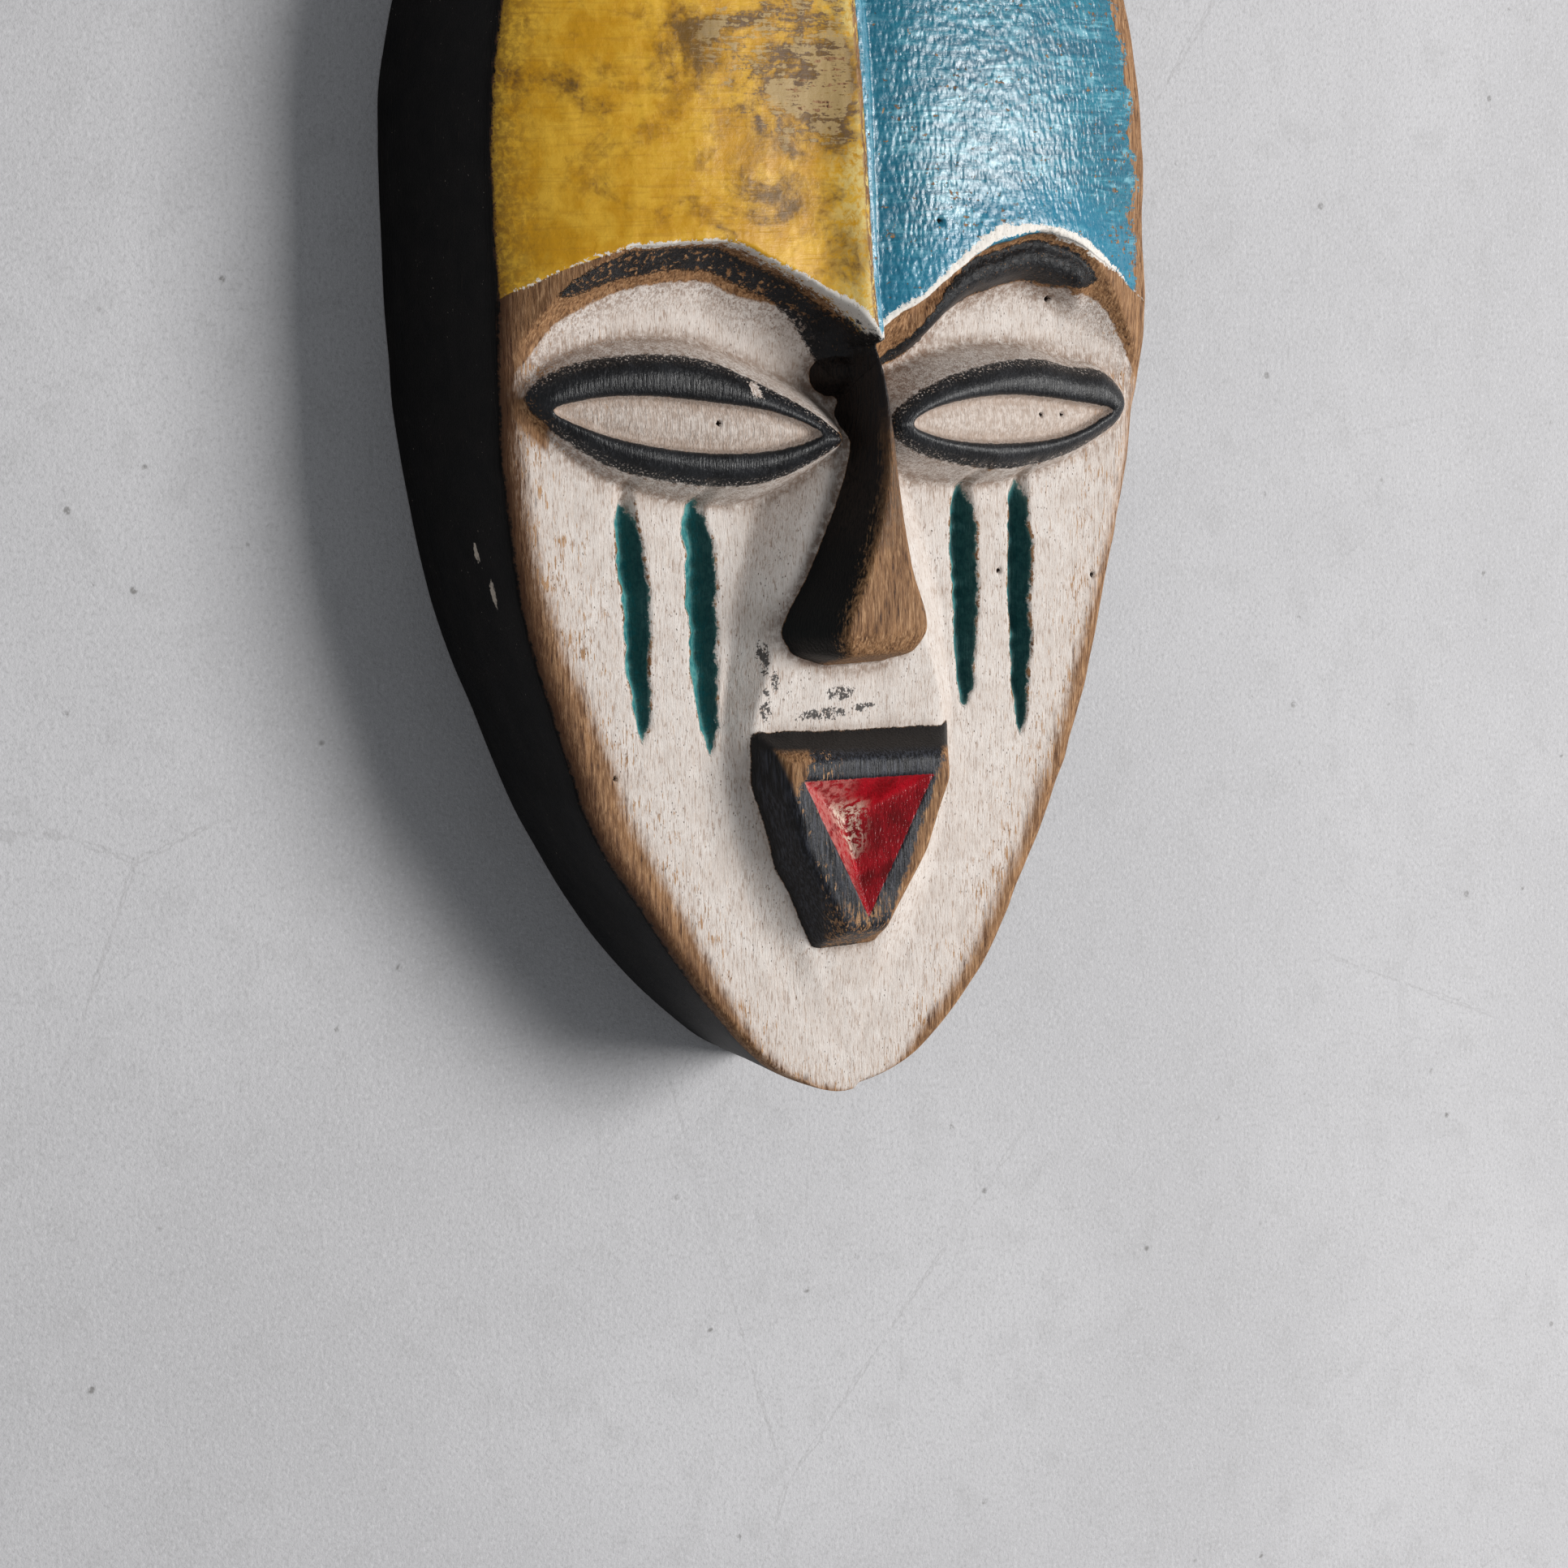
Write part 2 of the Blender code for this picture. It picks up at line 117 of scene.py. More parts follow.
# Black brow strokes: x, middle below the brow line, half width
STROKE_LEFT = [(-88, 5.0, -2), (-82, 5.4, 1.8), (-75, 4.9, 3.0), (-66, 4.5, 3.4), (-55, 3.6, 3.0)]
STROKE_LEFT += [(-44, 3.9, 3.0), (-35, 4.3, 2.7), (-25, 3.4, 2.6), (-15, 3.9, 3.0), (-8, 5.0, 4.2)]
STROKE_LEFT += [(-2, 5.0, 5.4), (1, 2.6, 4.2), (3, 1.0, -1)]
STROKE_RIGHT = [(5, 11.5, -3), (10, 11.5, 0.2), (16, 11.5, 1.4), (22, 10.6, 2.6), (28, 9.4, 3.9)]
STROKE_RIGHT += [(35, 8.0, 4.9), (41, 7.6, 5.3), (47, 7.6, 5.4), (55, 7.5, 5.4), (62, 7.2, 5.4)]
STROKE_RIGHT += [(69, 6.8, 5.2), (74, 6.0, 4.2), (79, 5.2, 2.4), (84, 4.8, -1), (90, 4.8, -3)]

# White primer line above the brow line: x, middle above the line, half width
PRIMER = [(-99, 0.2, 0.1), (-74, 0.3, 0.3), (-62, 0.3, 0.8), (-45, 0.3, 0.6), (-26, 0.4, 0.5)]
PRIMER += [(-16, 0.8, 0.9), (-6, 1.2, 1.3), (4, 1.4, 1.6), (14, 1.0, 1.4), (24, 1.2, 1.5), (34, 2.2, 1.7)]
PRIMER += [(44, 3.2, 1.9), (53, 2.2, 1.2), (60, 1.0, 0.9), (68, 0.9, 1.5), (78, 0.8, 1.4), (88, 0.5, 0.7)]
PRIMER += [(96, 0.2, 0.1)]

BROW_FLARE = 1.8

# The seam between yellow and blue, which every x in the paint is measured from
SEAM_X = -0.7

# Ridge along the forehead
KEEL_TOP_Z = 8.0
KEEL_END_Z = -152.0
KEEL_PROUD_TOP = 1.0
KEEL_PROUD_END = 6.6
KEEL_VALLEY_X = 5.2
KEEL_VALLEY_DEPTH = 2.6
KEEL_VALLEY_REACH = 20.0
KEEL_LEFT_REACH = 9.0

# Lids and slits, as corners running round from the outer corner over the top
LIDS = [
    [(-93.5, -165), (-88, -159.4), (-78, -156), (-66, -154.6), (-52, -155), (-40, -158), (-27, -164.3)]
    + [(-16, -170.2), (-9.5, -175), (-6.6, -178.6), (-12, -182.4), (-20, -186.4), (-30, -189.2)]
    + [(-42, -189.6), (-55, -187.8), (-68, -184.6), (-78, -179.6), (-87, -173)],
    [(8, -174.8), (13, -169.6), (24, -164.4), (36, -161.3), (50, -159.2), (63, -159.2), (75, -161.6)]
    + [(86, -163), (93, -167.5), (95.5, -172.5), (92.5, -177.6), (84, -182), (74, -185.6)]
    + [(62, -188), (48, -188.8), (33, -186.8), (19, -183.2), (11, -179)],
]
SLITS = [
    [(-87, -168.2), (-76, -165.4), (-62, -165.2), (-45, -167.2), (-28, -170.2), (-15.5, -175)]
    + [(-15, -177.6), (-28, -180.6), (-45, -180.6), (-62, -178), (-76, -174)],
    [(15, -174.9), (22, -171.2), (36, -168.9), (52, -168.5), (70, -170.5), (88, -173.6), (84, -176.4)]
    + [(76, -179.4), (64, -181.4), (47, -181.7), (32, -180.4), (21, -178)],
]
LID_DEPTH_MIDDLE = 76.5
LID_SLOPE = 0.155
LID_ROUND = 4.2
LID_REACH = 11.5

# Nose: z, half width at the foot, half width at the ridge, middle, depth
NOSE_FOOT_DEPTH = 52.0
NOSE = [
    (-149.0, 2.6, 0.7, 0.8, 76.0),
    (-160.0, 3.6, 1.0, 2.6, 78.2),
    (-172.0, 5.4, 1.4, 3.4, 79.6),
    (-190.0, 11.4, 2.2, 3.4, 81.0),
    (-212.0, 20.6, 6.6, 1.4, 82.6),
    (-229.0, 28.5, 12.4, 0.0, 83.0),
    (-236.0, 26.0, 9.5, 0.0, 80.0),
]

# Knot at the nose's root: x, z, depth
KNOT = (-0.5, -160.5, 67.6)

# Raised middle of the face: z, half width on top, half width at the foot, depth
MUZZLE_FOOT_DEPTH = 53.0
MUZZLE = [
    (-178.0, 5.0, 20.0, 66.0),
    (-212.0, 19.0, 33.0, 65.0),
    (-234.0, 24.0, 38.0, 64.0),
    (-258.0, 30.0, 40.0, 62.0),
    (-300.0, 20.0, 34.0, 60.5),
    (-336.0, 6.0, 22.0, 56.0),
    (-352.0, 3.0, 12.0, 52.4),
]

# Mouth block, round from the upper left corner, and the red pit's corners and floor
MOUTH_FOOT = [(-31, -254.5), (32, -257.5), (32.5, -270), (23, -295), (8.5, -317)]
MOUTH_FOOT += [(-10.5, -317), (-23, -294), (-30, -270)]
MOUTH_FRONT = [(-24.6, -262), (24.6, -265), (26.8, -270.5), (17.6, -294), (4.6, -312)]
MOUTH_FRONT += [(-5.6, -312), (-18.6, -293), (-25.6, -270)]
MOUTH_FOOT_DEPTH = 61.0
MOUTH_DEPTH = 72.0
RECESS = [(-20.8, -269.0), (21.4, -270.4), (-0.6, -309.0)]
RECESS_FLOOR = (-2.0, -283.0)
RECESS_DEPTH = 10.5

# Tear grooves: x at the top, x at the tip, top, tip, half width
GROOVES = [
    (-64.2, -60.3, -184.5, -257.5, 4.3),
    (-43.2, -40.6, -186.5, -263.0, 4.9),
    (41.6, 41.4, -185.0, -256.5, 4.7),
    (60.0, 60.4, -185.0, -265.5, 4.2),
]

# Share of the half width, by share of the way from a groove's top to its tip
GROOVE_PROFILE = (
    (0, 0.03, 0.10, 0.2, 0.32, 0.5, 0.72, 0.88, 0.96, 1.0),
    (0.3, 0.6, 0.72, 0.86, 1.0, 0.96, 0.84, 0.62, 0.36, 0),
)
GROOVE_DEPTH = 6.4
GROOVE_PAINT_TOP = -195.0

# Black left on the upper lip: x, z, half width, half height
LIP_SMEARS = [(-3.5, -247.4, 5.0, 2.4), (-9, -252.8, 9.0, 1.8), (3.7, -251.8, 4.0, 1.2)]
LIP_SMEARS += [(-26.4, -249.5, 1.8, 4.5), (-26.8, -236.0, 1.6, 5.0), (-24.0, -243.0, 1.4, 3.0)]

# Beetle holes: x, z, radius
HOLES = [(53.0, -217.8, 0.75), (84.9, -220.8, 0.7), (24.0, -121.1, 0.8), (-69.4, -266.0, 0.6)]
HOLES += [(62.3, -174.4, 0.7), (70.2, -174.7, 0.6), (-41.9, -173.0, 0.7), (70.6, -142.6, 0.8)]

# Chips on the left side wall: distance behind the face edge, z, size
SIDE_CHIPS = [(19.0, -206.0, 1.2), (13.0, -216.5, 1.6)]

# The back: the face's hollow, and the pocket's half width, depth, top and foot
HOLLOW_Z = -190.0
HOLLOW_Y = 1.5
HOLLOW_RADII = (88.0, 41.5, 145.0)
HOLLOW_TAPER = 0.15
POCKET = (12.0, 4.8, 5.0, -37.0)

# The hanger's ring, as in the CAD
RING_WIRE = 1.1
RING_HALF_WIDTH = 8.0
HINGE_Y = -2.3
HINGE_Z = -11.0
RING_STEPS = 160
RING_SIDES = 20

# Camera, wall and light
CAMERA_YAW = 30.0
CAMERA_PITCH = 8.5
CAMERA_ROLL = -1.0
CAMERA_LENS = 78.26
CAMERA_SENSOR = 36.0
CAMERA_AIM = (14.76, 0.0, -281.65)
CAMERA_DISTANCE = 994.5
WALL_Y = 0.4
WALL_HALF = 3000.0
WALL_LAP = 3.0

# Light, in metres and watts
LIGHT_AIM = (0.0, -0.05, -0.2)
LIGHT_TURN = 42.0
LIGHT_DISTANCE = 2.7
LIGHT_SIZE = 1.2
LIGHT_POWER = 82.0
LIGHT_COLOUR = (1.0, 0.99, 0.975)
REAR_PLACE = (-0.9, 1.9, 0.5)
REAR_POWER = 40.0
REAR_COLOUR = (1.0, 1.0, 1.0)
FILL = 0.25
FILL_COLOUR = (0.92, 0.96, 1.0, 1.0)


def link(name, data):
    item = bpy.data.objects.new(name, data)
    bpy.context.scene.collection.objects.link(item)
    return item


def smooth_step(value, low, high):
    t = np.clip((value - low) / (high - low), 0.0, 1.0)
    return t * t * (3.0 - 2.0 * t)


def soft_max(a, b, width):
    """The larger of two surfaces, with a fillet where they cross."""
    share = np.clip(0.5 + 0.5 * (a - b) / width, 0.0, 1.0)
    return b + (a - b) * share + width * share * (1.0 - share) / 2.0


def soft_min(a, b, width):
    return -soft_max(-a, -b, width)


def curve_table(heights, table, column):
    """Catmull-Rom reading of a table whose first column falls from row to row."""
    rows = np.array(table, float)
    index = np.clip(np.searchsorted(-rows[:, 0], -heights) - 1, 0, len(rows) - 2)
    before = rows[np.maximum(index - 1, 0)]
    start = rows[index]
    end = rows[index + 1]
    after = rows[np.minimum(index + 2, len(rows) - 1)]
    span = end[..., 0] - start[..., 0]
    t = (heights - start[..., 0]) / span
    slope_in = (end[..., column] - before[..., column]) / (end[..., 0] - before[..., 0]) * span
    slope_out = (after[..., column] - start[..., column]) / (after[..., 0] - start[..., 0]) * span
    value = (2 * t**3 - 3 * t**2 + 1) * start[..., column] + (t**3 - 2 * t**2 + t) * slope_in
    return value + (3 * t**2 - 2 * t**3) * end[..., column] + (t**3 - t**2) * slope_out


def across_table(x, table, column=1):
    """Smoothed straight-line reading of a table by x."""
    rows = np.array(table, float)
    fine = np.linspace(rows[0, 0], rows[-1, 0], 600)
    values = np.interp(fine, rows[:, 0], rows[:, column])
    kernel = np.hanning(25)
    padded = np.pad(values, 12, mode="edge")
    return np.interp(x, fine, np.convolve(padded, kernel / kernel.sum(), mode="valid"))


def lattice_noise(u, v, cell_u, cell_v, seed):
    """Smooth random relief from -1 to 1, with one random value per cell."""
    cells = 128
    values = np.random.default_rng(SEED + seed).uniform(-1.0, 1.0, (cells, cells))
    a = u / cell_u + 4 * cells
    b = v / cell_v + 4 * cells
    column = np.floor(a).astype(int)
    row = np.floor(b).astype(int)
    s = smooth_step(a - column, 0.0, 1.0)
    t = smooth_step(b - row, 0.0, 1.0)
    near, far = (
        values[line % cells, column % cells] * (1 - s) + values[line % cells, (column + 1) % cells] * s
        for line in (row, row + 1)
    )
    return near * (1 - t) + far * t


def blur(field, rows, columns):
    """Gaussian blur with its spread given in rows and in columns."""
    for axis, spread in ((0, rows), (1, columns)):
        if spread <= 0:
            continue
        reach = int(math.ceil(spread * 3))
        weights = np.exp(-0.5 * (np.arange(-reach, reach + 1) / spread) ** 2)
        weights /= weights.sum()
        margin = [(reach, reach) if axis == k else (0, 0) for k in (0, 1)]
        padded = np.pad(field, margin, mode="edge")
        size = field.shape[axis]
        total = np.zeros_like(field)
        for offset, weight in enumerate(weights):
            part = padded[offset : offset + size] if axis == 0 else padded[:, offset : offset + size]
            total += weight * part
        field = total
    return field


def outline_distance(x, z, outline):
    """Distance inside a closed outline, negative outside, and -FAR well away from it."""
    points = np.array(outline, float)
    low = points.min(0) - FAR
    high = points.max(0) + FAR
    result = np.full(x.shape, -FAR)
    window = (x > low[0]) & (x < high[0]) & (z > low[1]) & (z < high[1])
    px, pz = x[window], z[window]
    nearest = np.full(px.shape, 1e9)
    inside = np.zeros(px.shape, bool)
    for (ax, az), (bx, bz) in zip(points, np.roll(points, -1, axis=0)):
        ex, ez = bx - ax, bz - az
        t = np.clip(((px - ax) * ex + (pz - az) * ez) / (ex * ex + ez * ez), 0.0, 1.0)
        nearest = np.minimum(nearest, np.hypot(px - ax - t * ex, pz - az - t * ez))
        if abs(ez) > 1e-9:
            crosses = ((az > pz) != (bz > pz)) & (px < ax + ex * (pz - az) / ez)
            inside ^= crosses
    result[window] = np.maximum(np.where(inside, nearest, -nearest), -FAR)
    return result


def rounded_outline(corners, steps=5):
    """Closed Catmull-Rom outline through a few corners."""
    points = np.array(corners, float)
    before, end, after = (np.roll(points, shift, axis=0) for shift in (1, -1, -2))
    outline = []
    for t in np.linspace(0.0, 1.0, steps, endpoint=False):
        spot = 2 * points + (end - before) * t + (2 * before - 5 * points + 4 * end - after) * t**2
        outline.append((spot + (3 * points - before - 3 * end + after) * t**3) / 2)
    return np.stack(outline, axis=1).reshape(-1, 2)


def edge_share(x, z, foot, front, k):
    """0 on a block's foot edge and 1 on its front edge, along one side of the block."""
    foot = np.array(foot, float)
    front = np.array(front, float)
    start, end = foot[k], foot[(k + 1) % len(foot)]
    normal = np.array([-(end - start)[1], (end - start)[0]])
    normal /= np.linalg.norm(normal)
    middle = (front[k] + front[(k + 1) % len(front)]) / 2
    reach = (middle - start) @ normal
    return ((x - start[0]) * normal[0] + (z - start[1]) * normal[1]) / reach


def block_rows():
    """Heights of the rows, closer together where the outline turns in at the crown and the chin."""
    crown = TOP_Z - TURN_HEIGHT * (1.0 - np.cos(np.linspace(0.02, math.pi / 2, CROWN_ROWS)))
    sides = np.arange(TOP_Z - TURN_HEIGHT - ROW_STEP, CHIN_TURN_Z, -ROW_STEP)
    chin = CHIN_TURN_Z - (CHIN_TURN_Z - CHIN_Z) * np.sin(np.linspace(0.03, math.pi / 2, CHIN_ROWS))
    pocket = [POCKET[2] + 0.06, POCKET[2] - 0.06, POCKET[3] + 0.06, POCKET[3] - 0.06]
    return np.array(sorted(set(np.concatenate([crown, sides, chin, pocket]).tolist()), reverse=True))


def outlines(heights):
    """Half widths of the wall rim and of the face's two edges at each height."""
    found = []
    for column in (1, 2, 3):
        half = curve_table(np.minimum(heights, WIDEST_Z), TAPER, column)
        t = np.clip((heights - WIDEST_Z) / (TOP_Z + 0.02 - WIDEST_Z), 0.0, 1.0)
        half = half * np.sqrt(1.0 - t**CROWN_POWER)
        u = np.clip((CHIN_ROUND_Z - heights) / (CHIN_ROUND_Z - CHIN_Z + 0.05), 0.0, 1.0)
        found.append(half * np.sqrt(1.0 - u**5))
    return found


def brow_distance(x, z):
    """Distance below the brow line, negative on the forehead."""
    fine = np.linspace(-112.0, 112.0, 1200)
    level = np.empty_like(fine)
    for side, points in ((fine < 0, BROW_LEFT), (fine >= 0, BROW_RIGHT)):
        level[side] = curve_table(-fine[side], [(-px, pz) for px, pz in points], 1)
    wander = 0.5 * lattice_noise(fine, fine * 0, 6.0, 1.0, 3)
    slope = np.clip(np.gradient(level, fine), -1.2, 1.2)
    height = np.interp(x, fine, level + wander)
    return (height - z) / np.sqrt(1.0 + np.interp(x, fine, slope) ** 2)


def carve_forehead(x, z, left, right):
    """The dome, with a ridge that rises slowly from the left and drops into a hollow on the right."""
    t = np.clip((z - DOME_CREST_Z) / (CROWN_Z - DOME_CREST_Z), 0.0, 1.0)
    rise = DOME_HEIGHT * (1.0 - t**2.2)
    across = (2 * x - (right - left)) / (right + left)
    dome = EDGE_DEPTH + rise * np.minimum(1.0, left / 40.0) * (1 - np.abs(across) ** DOME_POWER)
    share = np.clip((KEEL_TOP_Z - z) / (KEEL_TOP_Z - KEEL_END_Z), 0.0, 1.0)
    fade = smooth_step(KEEL_TOP_Z - z, 0.0, 30.0)
    proud = KEEL_PROUD_TOP + (KEEL_PROUD_END - KEEL_PROUD_TOP) * share**2
    hollow = np.clip(1.0 - (x - KEEL_VALLEY_X) / KEEL_VALLEY_REACH, 0.0, 1.0) ** 1.8
    flank = np.clip((KEEL_VALLEY_X - x) / (KEEL_VALLEY_X - 1.0), 0.0, 1.0)
    right_side = -KEEL_VALLEY_DEPTH * np.minimum(hollow, 1.0) * (1 - flank) + proud * flank
    left_side = proud * np.exp(-((np.minimum(x - SEAM_X, 0.0) / KEEL_LEFT_REACH) ** 2))
    return dome + fade * np.where(x > SEAM_X, right_side, left_side)


def carve_cheeks(x, z, below, dome):
    """The forehead down to the brow line, the slope under it and the cheeks."""
    cheek = CHEEK_DEPTH + 0.4 - 1.2 * np.exp(-(((np.abs(x) - 60) / 30) ** 2) - ((z + 148) / 9) ** 2)
    cheek = cheek - 0.9 * np.exp(-(((np.abs(x) - 52) / 34) ** 2) - ((z + 196) / 9) ** 2)
    dome = dome + BROW_FLARE * np.exp(-((np.minimum(below, 0.0) / 10.0) ** 2))
    face = soft_min(dome, cheek, 3.0)
    roll = smooth_step(x, 14.0, 27.0) * (1.0 - smooth_step(x, 74.0, 82.0))
    slopes = (SLOPE_LEFT, SLOPE_RIGHT, SLOPE_ROLL)
    slope_left, slope_right, slope_roll = (np.interp(below, *np.array(table).T) for table in slopes)
    slope = np.where(x < 0, slope_left, slope_right * (1 - roll) + slope_roll * roll)
    under = np.minimum(dome, face + slope)
    return np.where(below < 0, dome, np.where(below > 40, face, under))


def carve_muzzle(x, z, depth):
    """The raised middle of the face, crisp only around the upper lip."""
    high, low = MUZZLE[0][0], MUZZLE[-1][0]
    top, foot, height = (curve_table(np.clip(z, low, high), MUZZLE, k) for k in (1, 2, 3))
    side = (foot - np.abs(x)) / (foot - top)
    raised = MUZZLE_FOOT_DEPTH + (height - MUZZLE_FOOT_DEPTH) * np.clip(side, -2.0, 1.0)
    raised = raised - 2.2 * np.clip(z - high, 0.0, 40.0) - 1.0 * np.clip(low - z, 0.0, 20.0)
    crisp = np.exp(-(((z + 245.0) / 13.0) ** 2))
    raised = raised * crisp + blur(raised, 3.0, 4.5) * (1.0 - crisp)
    return soft_max(depth, raised, 2.4 - 1.9 * crisp)


def carve_lids(x, z, depth):
    """Both eyes' rounded lids and the balls in their slits, with the fold over the right eye."""
    lid, slit = (
        np.maximum(*[outline_distance(x, z, rounded_outline(corners)) for corners in pair])
        for pair in (LIDS, SLITS)
    )
    crest = LID_DEPTH_MIDDLE - LID_SLOPE * np.abs(x)
    rounded = crest - LID_ROUND * (1.0 - np.clip(lid / 6.0, 0.0, 1.0)) ** 2.2
    outside = crest - LID_ROUND - 2.1 * np.maximum(-lid, 0.0)
    mound = np.where(lid > 0, rounded, outside)
    mound = mound - 0.5 * smooth_step(slit, -3.0, 0.0)
    near = lid > -LID_REACH
    depth = np.where(near, soft_max(depth, np.where(near, mound, 0.0), 2.6), depth)
    ball = crest - 3.9 + 1.5 * smooth_step(slit, 0.0, 6.0)
    depth = depth + (np.minimum(depth, ball) - depth) * smooth_step(slit, -0.25, 0.75)
    ledge = np.exp(-(((z + 154.0 - 0.0012 * (x - 62) ** 2) / 1.5) ** 2))
    crease = ledge * smooth_step(x, 26.0, 38.0) * (1 - smooth_step(x, 84.0, 95.0))
    return depth - 0.7 * crease, lid, slit


def carve_nose(x, z, depth):
    """The nose with the knot at its root, its paint's border and its flat front's border."""
    high, low = NOSE[0][0], NOSE[-1][0]
    section = np.clip(z, low, high)
    foot, front, centre, height = (curve_table(section, NOSE, k) for k in (1, 2, 3, 4))
    left_side = (x - centre + foot) / (foot - front)
    right_side = (foot - x + centre) / (foot - front)
    share = soft_min(left_side, right_side, 0.04)
    body = NOSE_FOOT_DEPTH + (height - NOSE_FOOT_DEPTH) * np.clip(share, -2.0, 1.0)
    body = body - 5.0 * np.clip(low - z, 0.0, 10.0) - 1.8 * np.clip(z - high + 1.5, 0.0, 20.0)
    body = np.where((z < high + 9.0) & (z > low - 10.0), body, 0.0)
    knot = KNOT[2] - 14.0 * (((x - KNOT[0]) / 9.0) ** 2 + ((z - KNOT[1]) / 8.5) ** 2)
    body = blur(soft_max(body, np.maximum(knot, 0.0), 3.0), 1.2, 1.4)
    plane = (share - 1.0) * (height - NOSE_FOOT_DEPTH) * 0.4
    return soft_max(depth, body, 0.8), np.clip(body - depth, -FAR, FAR), np.clip(plane, -FAR, FAR)


def carve_mouth(x, z, depth):
    """The mouth block and its three-sided pit, the block's border and the depth into the pit."""
    sides = [edge_share(x, z, MOUTH_FOOT, MOUTH_FRONT, k) for k in range(len(MOUTH_FOOT))]
    shelf = np.clip(sides[0], 0.0, 1.0)
    sides[0] = np.where(sides[0] > 0, np.minimum(sides[0], shelf**1.7), sides[0])
    share = np.minimum.reduce(sides)
    block = MOUTH_FOOT_DEPTH + (MOUTH_DEPTH - MOUTH_FOOT_DEPTH) * np.clip(share, -1.5, 1.0)
    block = blur(np.where(share > -1.4, block, 0.0), 2.2, 2.8)
    block = block + 0.35 * lattice_noise(x, z, 5.0, 7.0, 61)
    border = np.clip(block - depth, -FAR, FAR)
    depth = soft_max(depth, block, 0.9)
    floor = [RECESS_FLOOR] * len(RECESS)
    dip = np.minimum.reduce([edge_share(x, z, RECESS, floor, k) for k in range(len(RECESS))])
    return np.where(dip > 0, np.minimum(depth, MOUTH_DEPTH - RECESS_DEPTH * dip), depth), border, dip


def carve_grooves(x, z, depth):
    """The four V cuts, their paint's border, and how far across a cut each point is."""
    painted = np.full(x.shape, -FAR)
    flank = np.zeros(x.shape)
    for top_x, tip_x, top_z, tip_z, half in GROOVES:
        s = (top_z - z) / (top_z - tip_z)
        wander = lattice_noise(s, x * 0, 0.09, 1.0, int(top_x + 80))
        middle = top_x + (tip_x - top_x) * s + 0.6 * wander
        shape = half * np.interp(s, *GROOVE_PROFILE) + 0.5 * lattice_noise(x, z, 3.0, 2.6, 62)
        inset = np.where((s > 0) & (s < 1), shape - np.abs(x - middle), -FAR)
        cut = GROOVE_DEPTH * np.clip(inset / half, 0.0, 1.0)
        depth = depth - cut * (0.45 * smooth_step(s, 0.0, 0.04) + 0.55 * smooth_step(s, 0.06, 0.2))
        flank = np.where(inset > -3.0, np.clip((x - middle) / half, -1.0, 1.0), flank)
        point = (GROOVE_PAINT_TOP - z) * 0.28 - np.abs(x - middle) * 0.5 + 1.0
        painted = np.maximum(painted, np.minimum(inset, point))
    return depth, painted, flank


def line_inside(x, below, table):
    """Distance inside a painted line that follows the brow line, from its middle and half width."""
    return across_table(x, table, 2) - np.abs(below - across_table(x, table, 1))


def carve(x, z, left, right):
    """Depth of the front at every grid point, and the distances that the paint follows."""
    below = brow_distance(x, z)
    marks = {"brow": below, "seam": x - SEAM_X, "band": below - across_table(x, BAND)}
    strokes = (line_inside(x, below, table) for table in (STROKE_LEFT, STROKE_RIGHT))
    marks["stroke"] = np.where(x < 2.5, *strokes)
    marks["primer"] = line_inside(x, -below, PRIMER)
    depth = carve_cheeks(x, z, below, carve_forehead(x, z, left, right))
    depth = carve_muzzle(x, z, depth)
    depth, marks["lid"], marks["slit"] = carve_lids(x, z, depth)
    depth, marks["nose"], marks["plane"] = carve_nose(x, z, depth)
    depth, marks["mouth"], dip = carve_mouth(x, z, depth)
    marks["red"] = dip * 10.0
    depth, marks["groove"], marks["flank"] = carve_grooves(x, z, depth)
    return depth, marks


def surface_relief(x, z, marks):
    """Tool marks, fibres, small knocks and beetle holes, as a change of depth."""
    relief = 0.16 * lattice_noise(x, z, 8.0, 13.0, 11) + 0.07 * lattice_noise(x, z, 3.2, 5.0, 12)
    relief += 0.035 * lattice_noise(x, z, 1.1, 4.0, 13)
    blue = smooth_step(-marks["brow"], 0.0, 2.0) * smooth_step(marks["seam"], 0.0, 2.0)
    relief += 0.05 * blue * lattice_noise(x, z, 1.3, 1.3, 14)
    for hole_x, hole_z, radius in HOLES:
        away = np.hypot(x - hole_x, z - hole_z)
        relief -= 1.6 * (1.0 - smooth_step(away, radius * 0.6, radius * 1.25))
    return relief


def back_columns(rim):
    """X of the back's columns at one height, close together over the hanger's pocket."""
    inner = np.array([0, 2.5, 5, 7.5, 10, 11.2, 11.94, 12.06, 12.8, 14, 16])
    inner = np.concatenate([-inner[:0:-1], inner])
    scale = np.minimum(rim / 20.0, 1.0)
    core = inner * scale
    count = (BACK_COLUMNS - len(inner)) // 2
    outer = np.sin(np.linspace(0.0, math.pi / 2, count + 1)[1:])
    right = core[-1] + (rim - core[-1]) * outer
    return np.concatenate([right[::-1], core[::-1], -right])


def back_depth(x, z):
    """Y of the back: the wall plane, the face's hollow and the hanger's pocket."""
    radius_x, radius_y, radius_z = HOLLOW_RADII
    level = (z - HOLLOW_Z) / radius_z
    width = radius_x * (1.0 + HOLLOW_TAPER * level)
    inside = 1.0 - (x / width) ** 2 - level**2
    chisel = 0.5 * lattice_noise(x, z, 11.0, 17.0, 21) + 0.15 * lattice_noise(x, z, 4.0, 7.0, 22)
    hollow = HOLLOW_Y - radius_y * np.sqrt(np.clip(inside, 0.0, 1.0))
    hollow = hollow + chisel * smooth_step(inside, 0.02, 0.2)
    back = np.where(inside > 0, np.minimum(hollow, 0.0), 0.0)
    half, deep, high, low = POCKET
    in_pocket = (np.abs(x) < half) & (z < high) & (z > low)
    return np.where(in_pocket, np.minimum(back, -deep), back)


